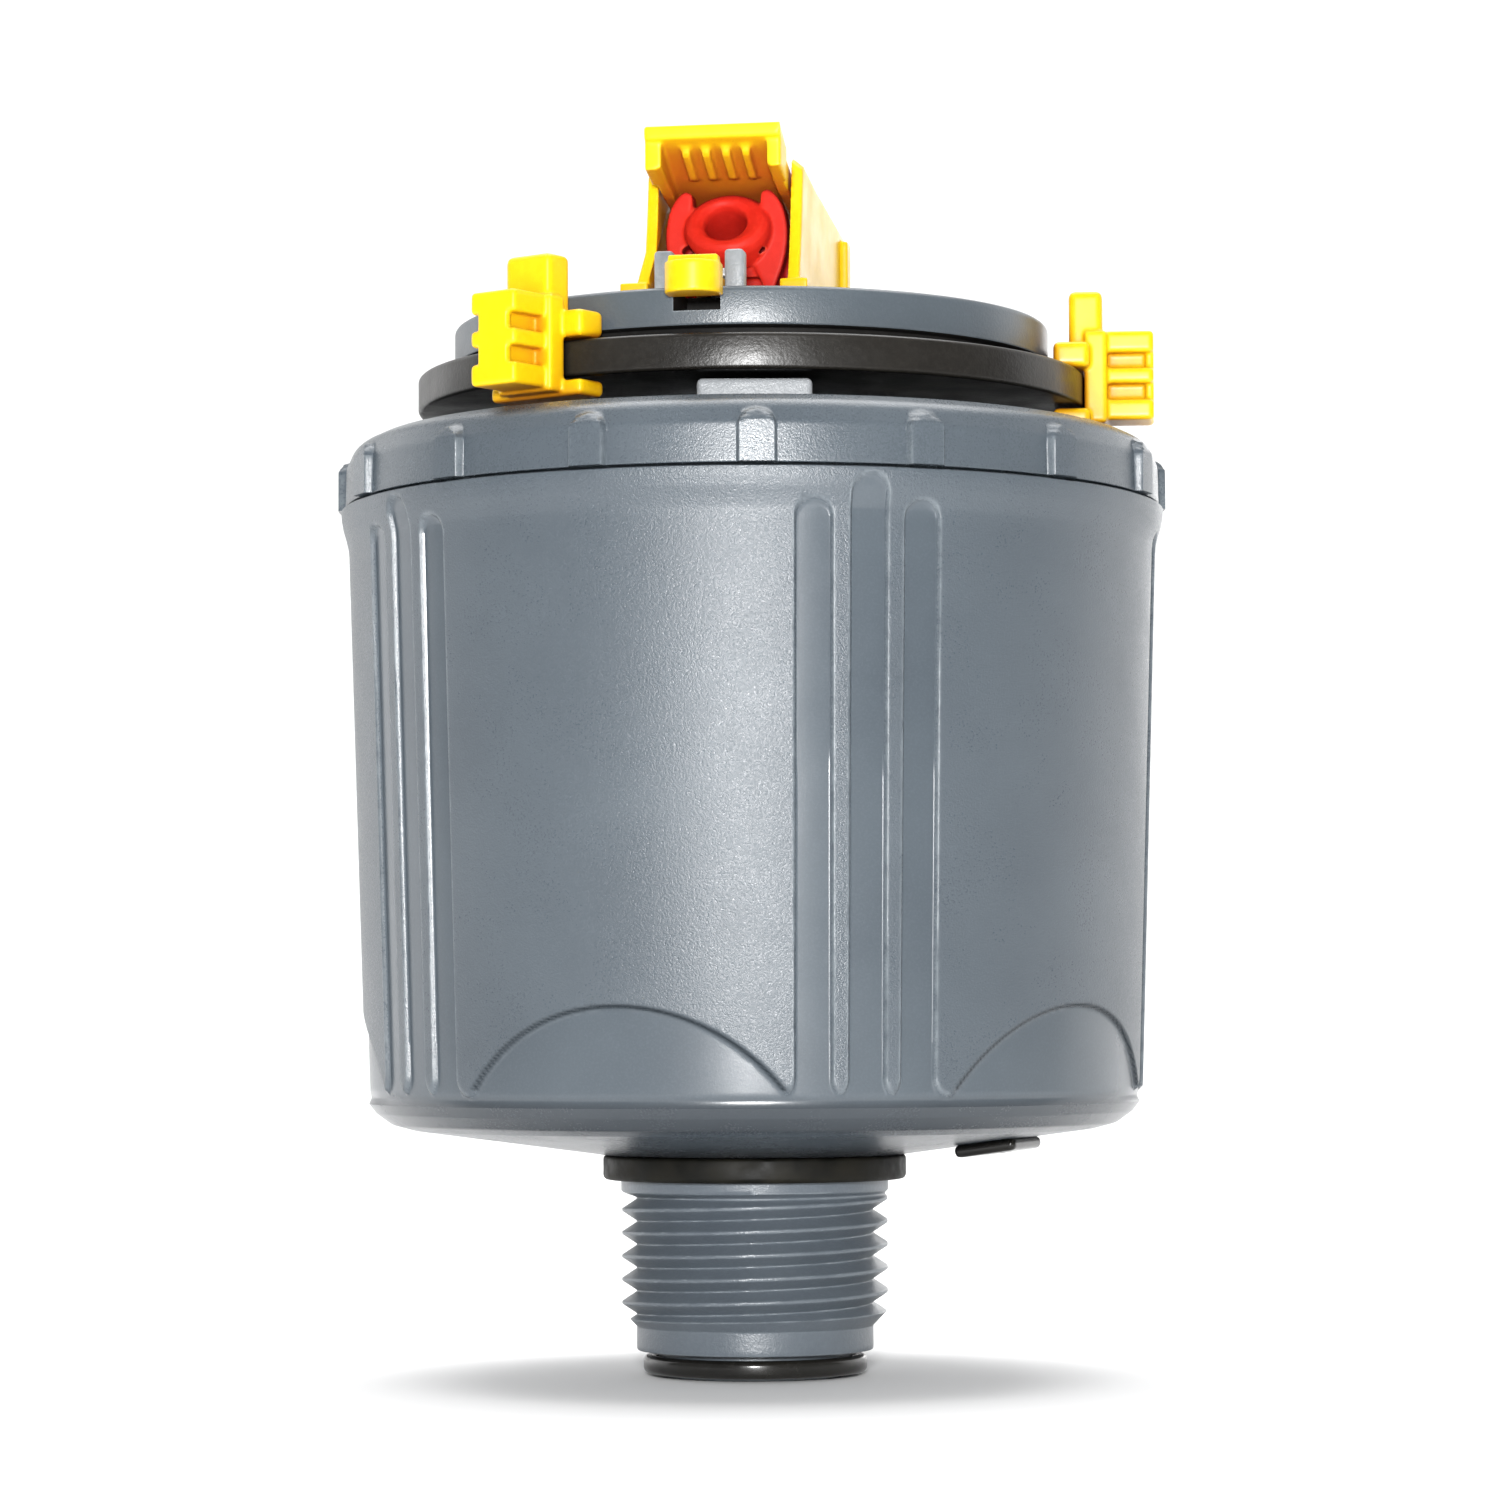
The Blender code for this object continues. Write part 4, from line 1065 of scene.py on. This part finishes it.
def build_world():
    """White all round: full strength to the camera, dimmer as light."""
    light_strength, seen_strength = 0.31, 1.0
    world = scene.world or bpy.data.worlds.new("studio")
    scene.world = world
    world.use_nodes = True
    tree = world.node_tree
    tree.nodes.clear()
    output, lighting, seen, pick, path = (
        tree.nodes.new("ShaderNode" + kind)
        for kind in ("OutputWorld", "Background", "Background", "MixShader", "LightPath"))
    for background, strength in ((lighting, light_strength), (seen, seen_strength)):
        background.inputs[0].default_value = (1.0, 1.0, 1.0, 1)
        background.inputs[1].default_value = strength
    tree.links.new(path.outputs["Is Camera Ray"], pick.inputs[0])
    tree.links.new(lighting.outputs[0], pick.inputs[1])
    tree.links.new(seen.outputs[0], pick.inputs[2])
    tree.links.new(pick.outputs[0], output.inputs[0])


# Area lights: name, place, target, size (m), power (W)
LIGHTS = [
    ("flash", (-0.006, -0.372, 0.067), (0, 0, 0.055), 0.034, 1.75),
    ("side_left", (-0.55, 0.35, 0.22), (0, 0, 0.05), 0.5, 1.1),
    ("side_right", (0.55, 0.35, 0.22), (0, 0, 0.05), 0.5, 1.0),
    ("over", (0.0, 0.15, 0.8), (0, 0, 0.05), 0.8, 6.0),
    ("rim_right", (0.38, 1.0, 0.27), (0.005, 0, 0.088), 0.35, 0.8),
    ("backdrop", (0.0, 0.35, 1.1), (0, 1.4, 0.5), 1.2, 17.0)]


def build_lights():
    for name, place, target, size, power in LIGHTS:
        light = bpy.data.lights.new(name, "AREA")
        light.energy, light.size = power, size
        lamp = link_object(name, light)
        lamp.location = place
        aim = Vector(target) - Vector(place)
        lamp.rotation_euler = aim.to_track_quat("-Z", "Y").to_euler()


def build_camera():
    pitch, roll = math.radians(3.455), math.radians(-0.22)  # pitch is upwards
    lens = bpy.data.cameras.new("camera")
    lens.lens, lens.sensor_width = 108.0, 36.0
    lens.clip_start, lens.clip_end = 0.01, 20
    camera = link_object("camera", lens)
    camera.location = (-0.00024, -0.35657, 0.02766)
    camera.rotation_euler = (Matrix.Rotation(math.pi / 2 + pitch, 3, "X")
                             @ Matrix.Rotation(roll, 3, "Z")).to_euler()
    scene.camera = camera


build_floor()
build_world()
build_lights()
build_camera()
scene.view_settings.view_transform = "Standard"
scene.view_settings.look = "None"
scene.view_settings.exposure = 0.0
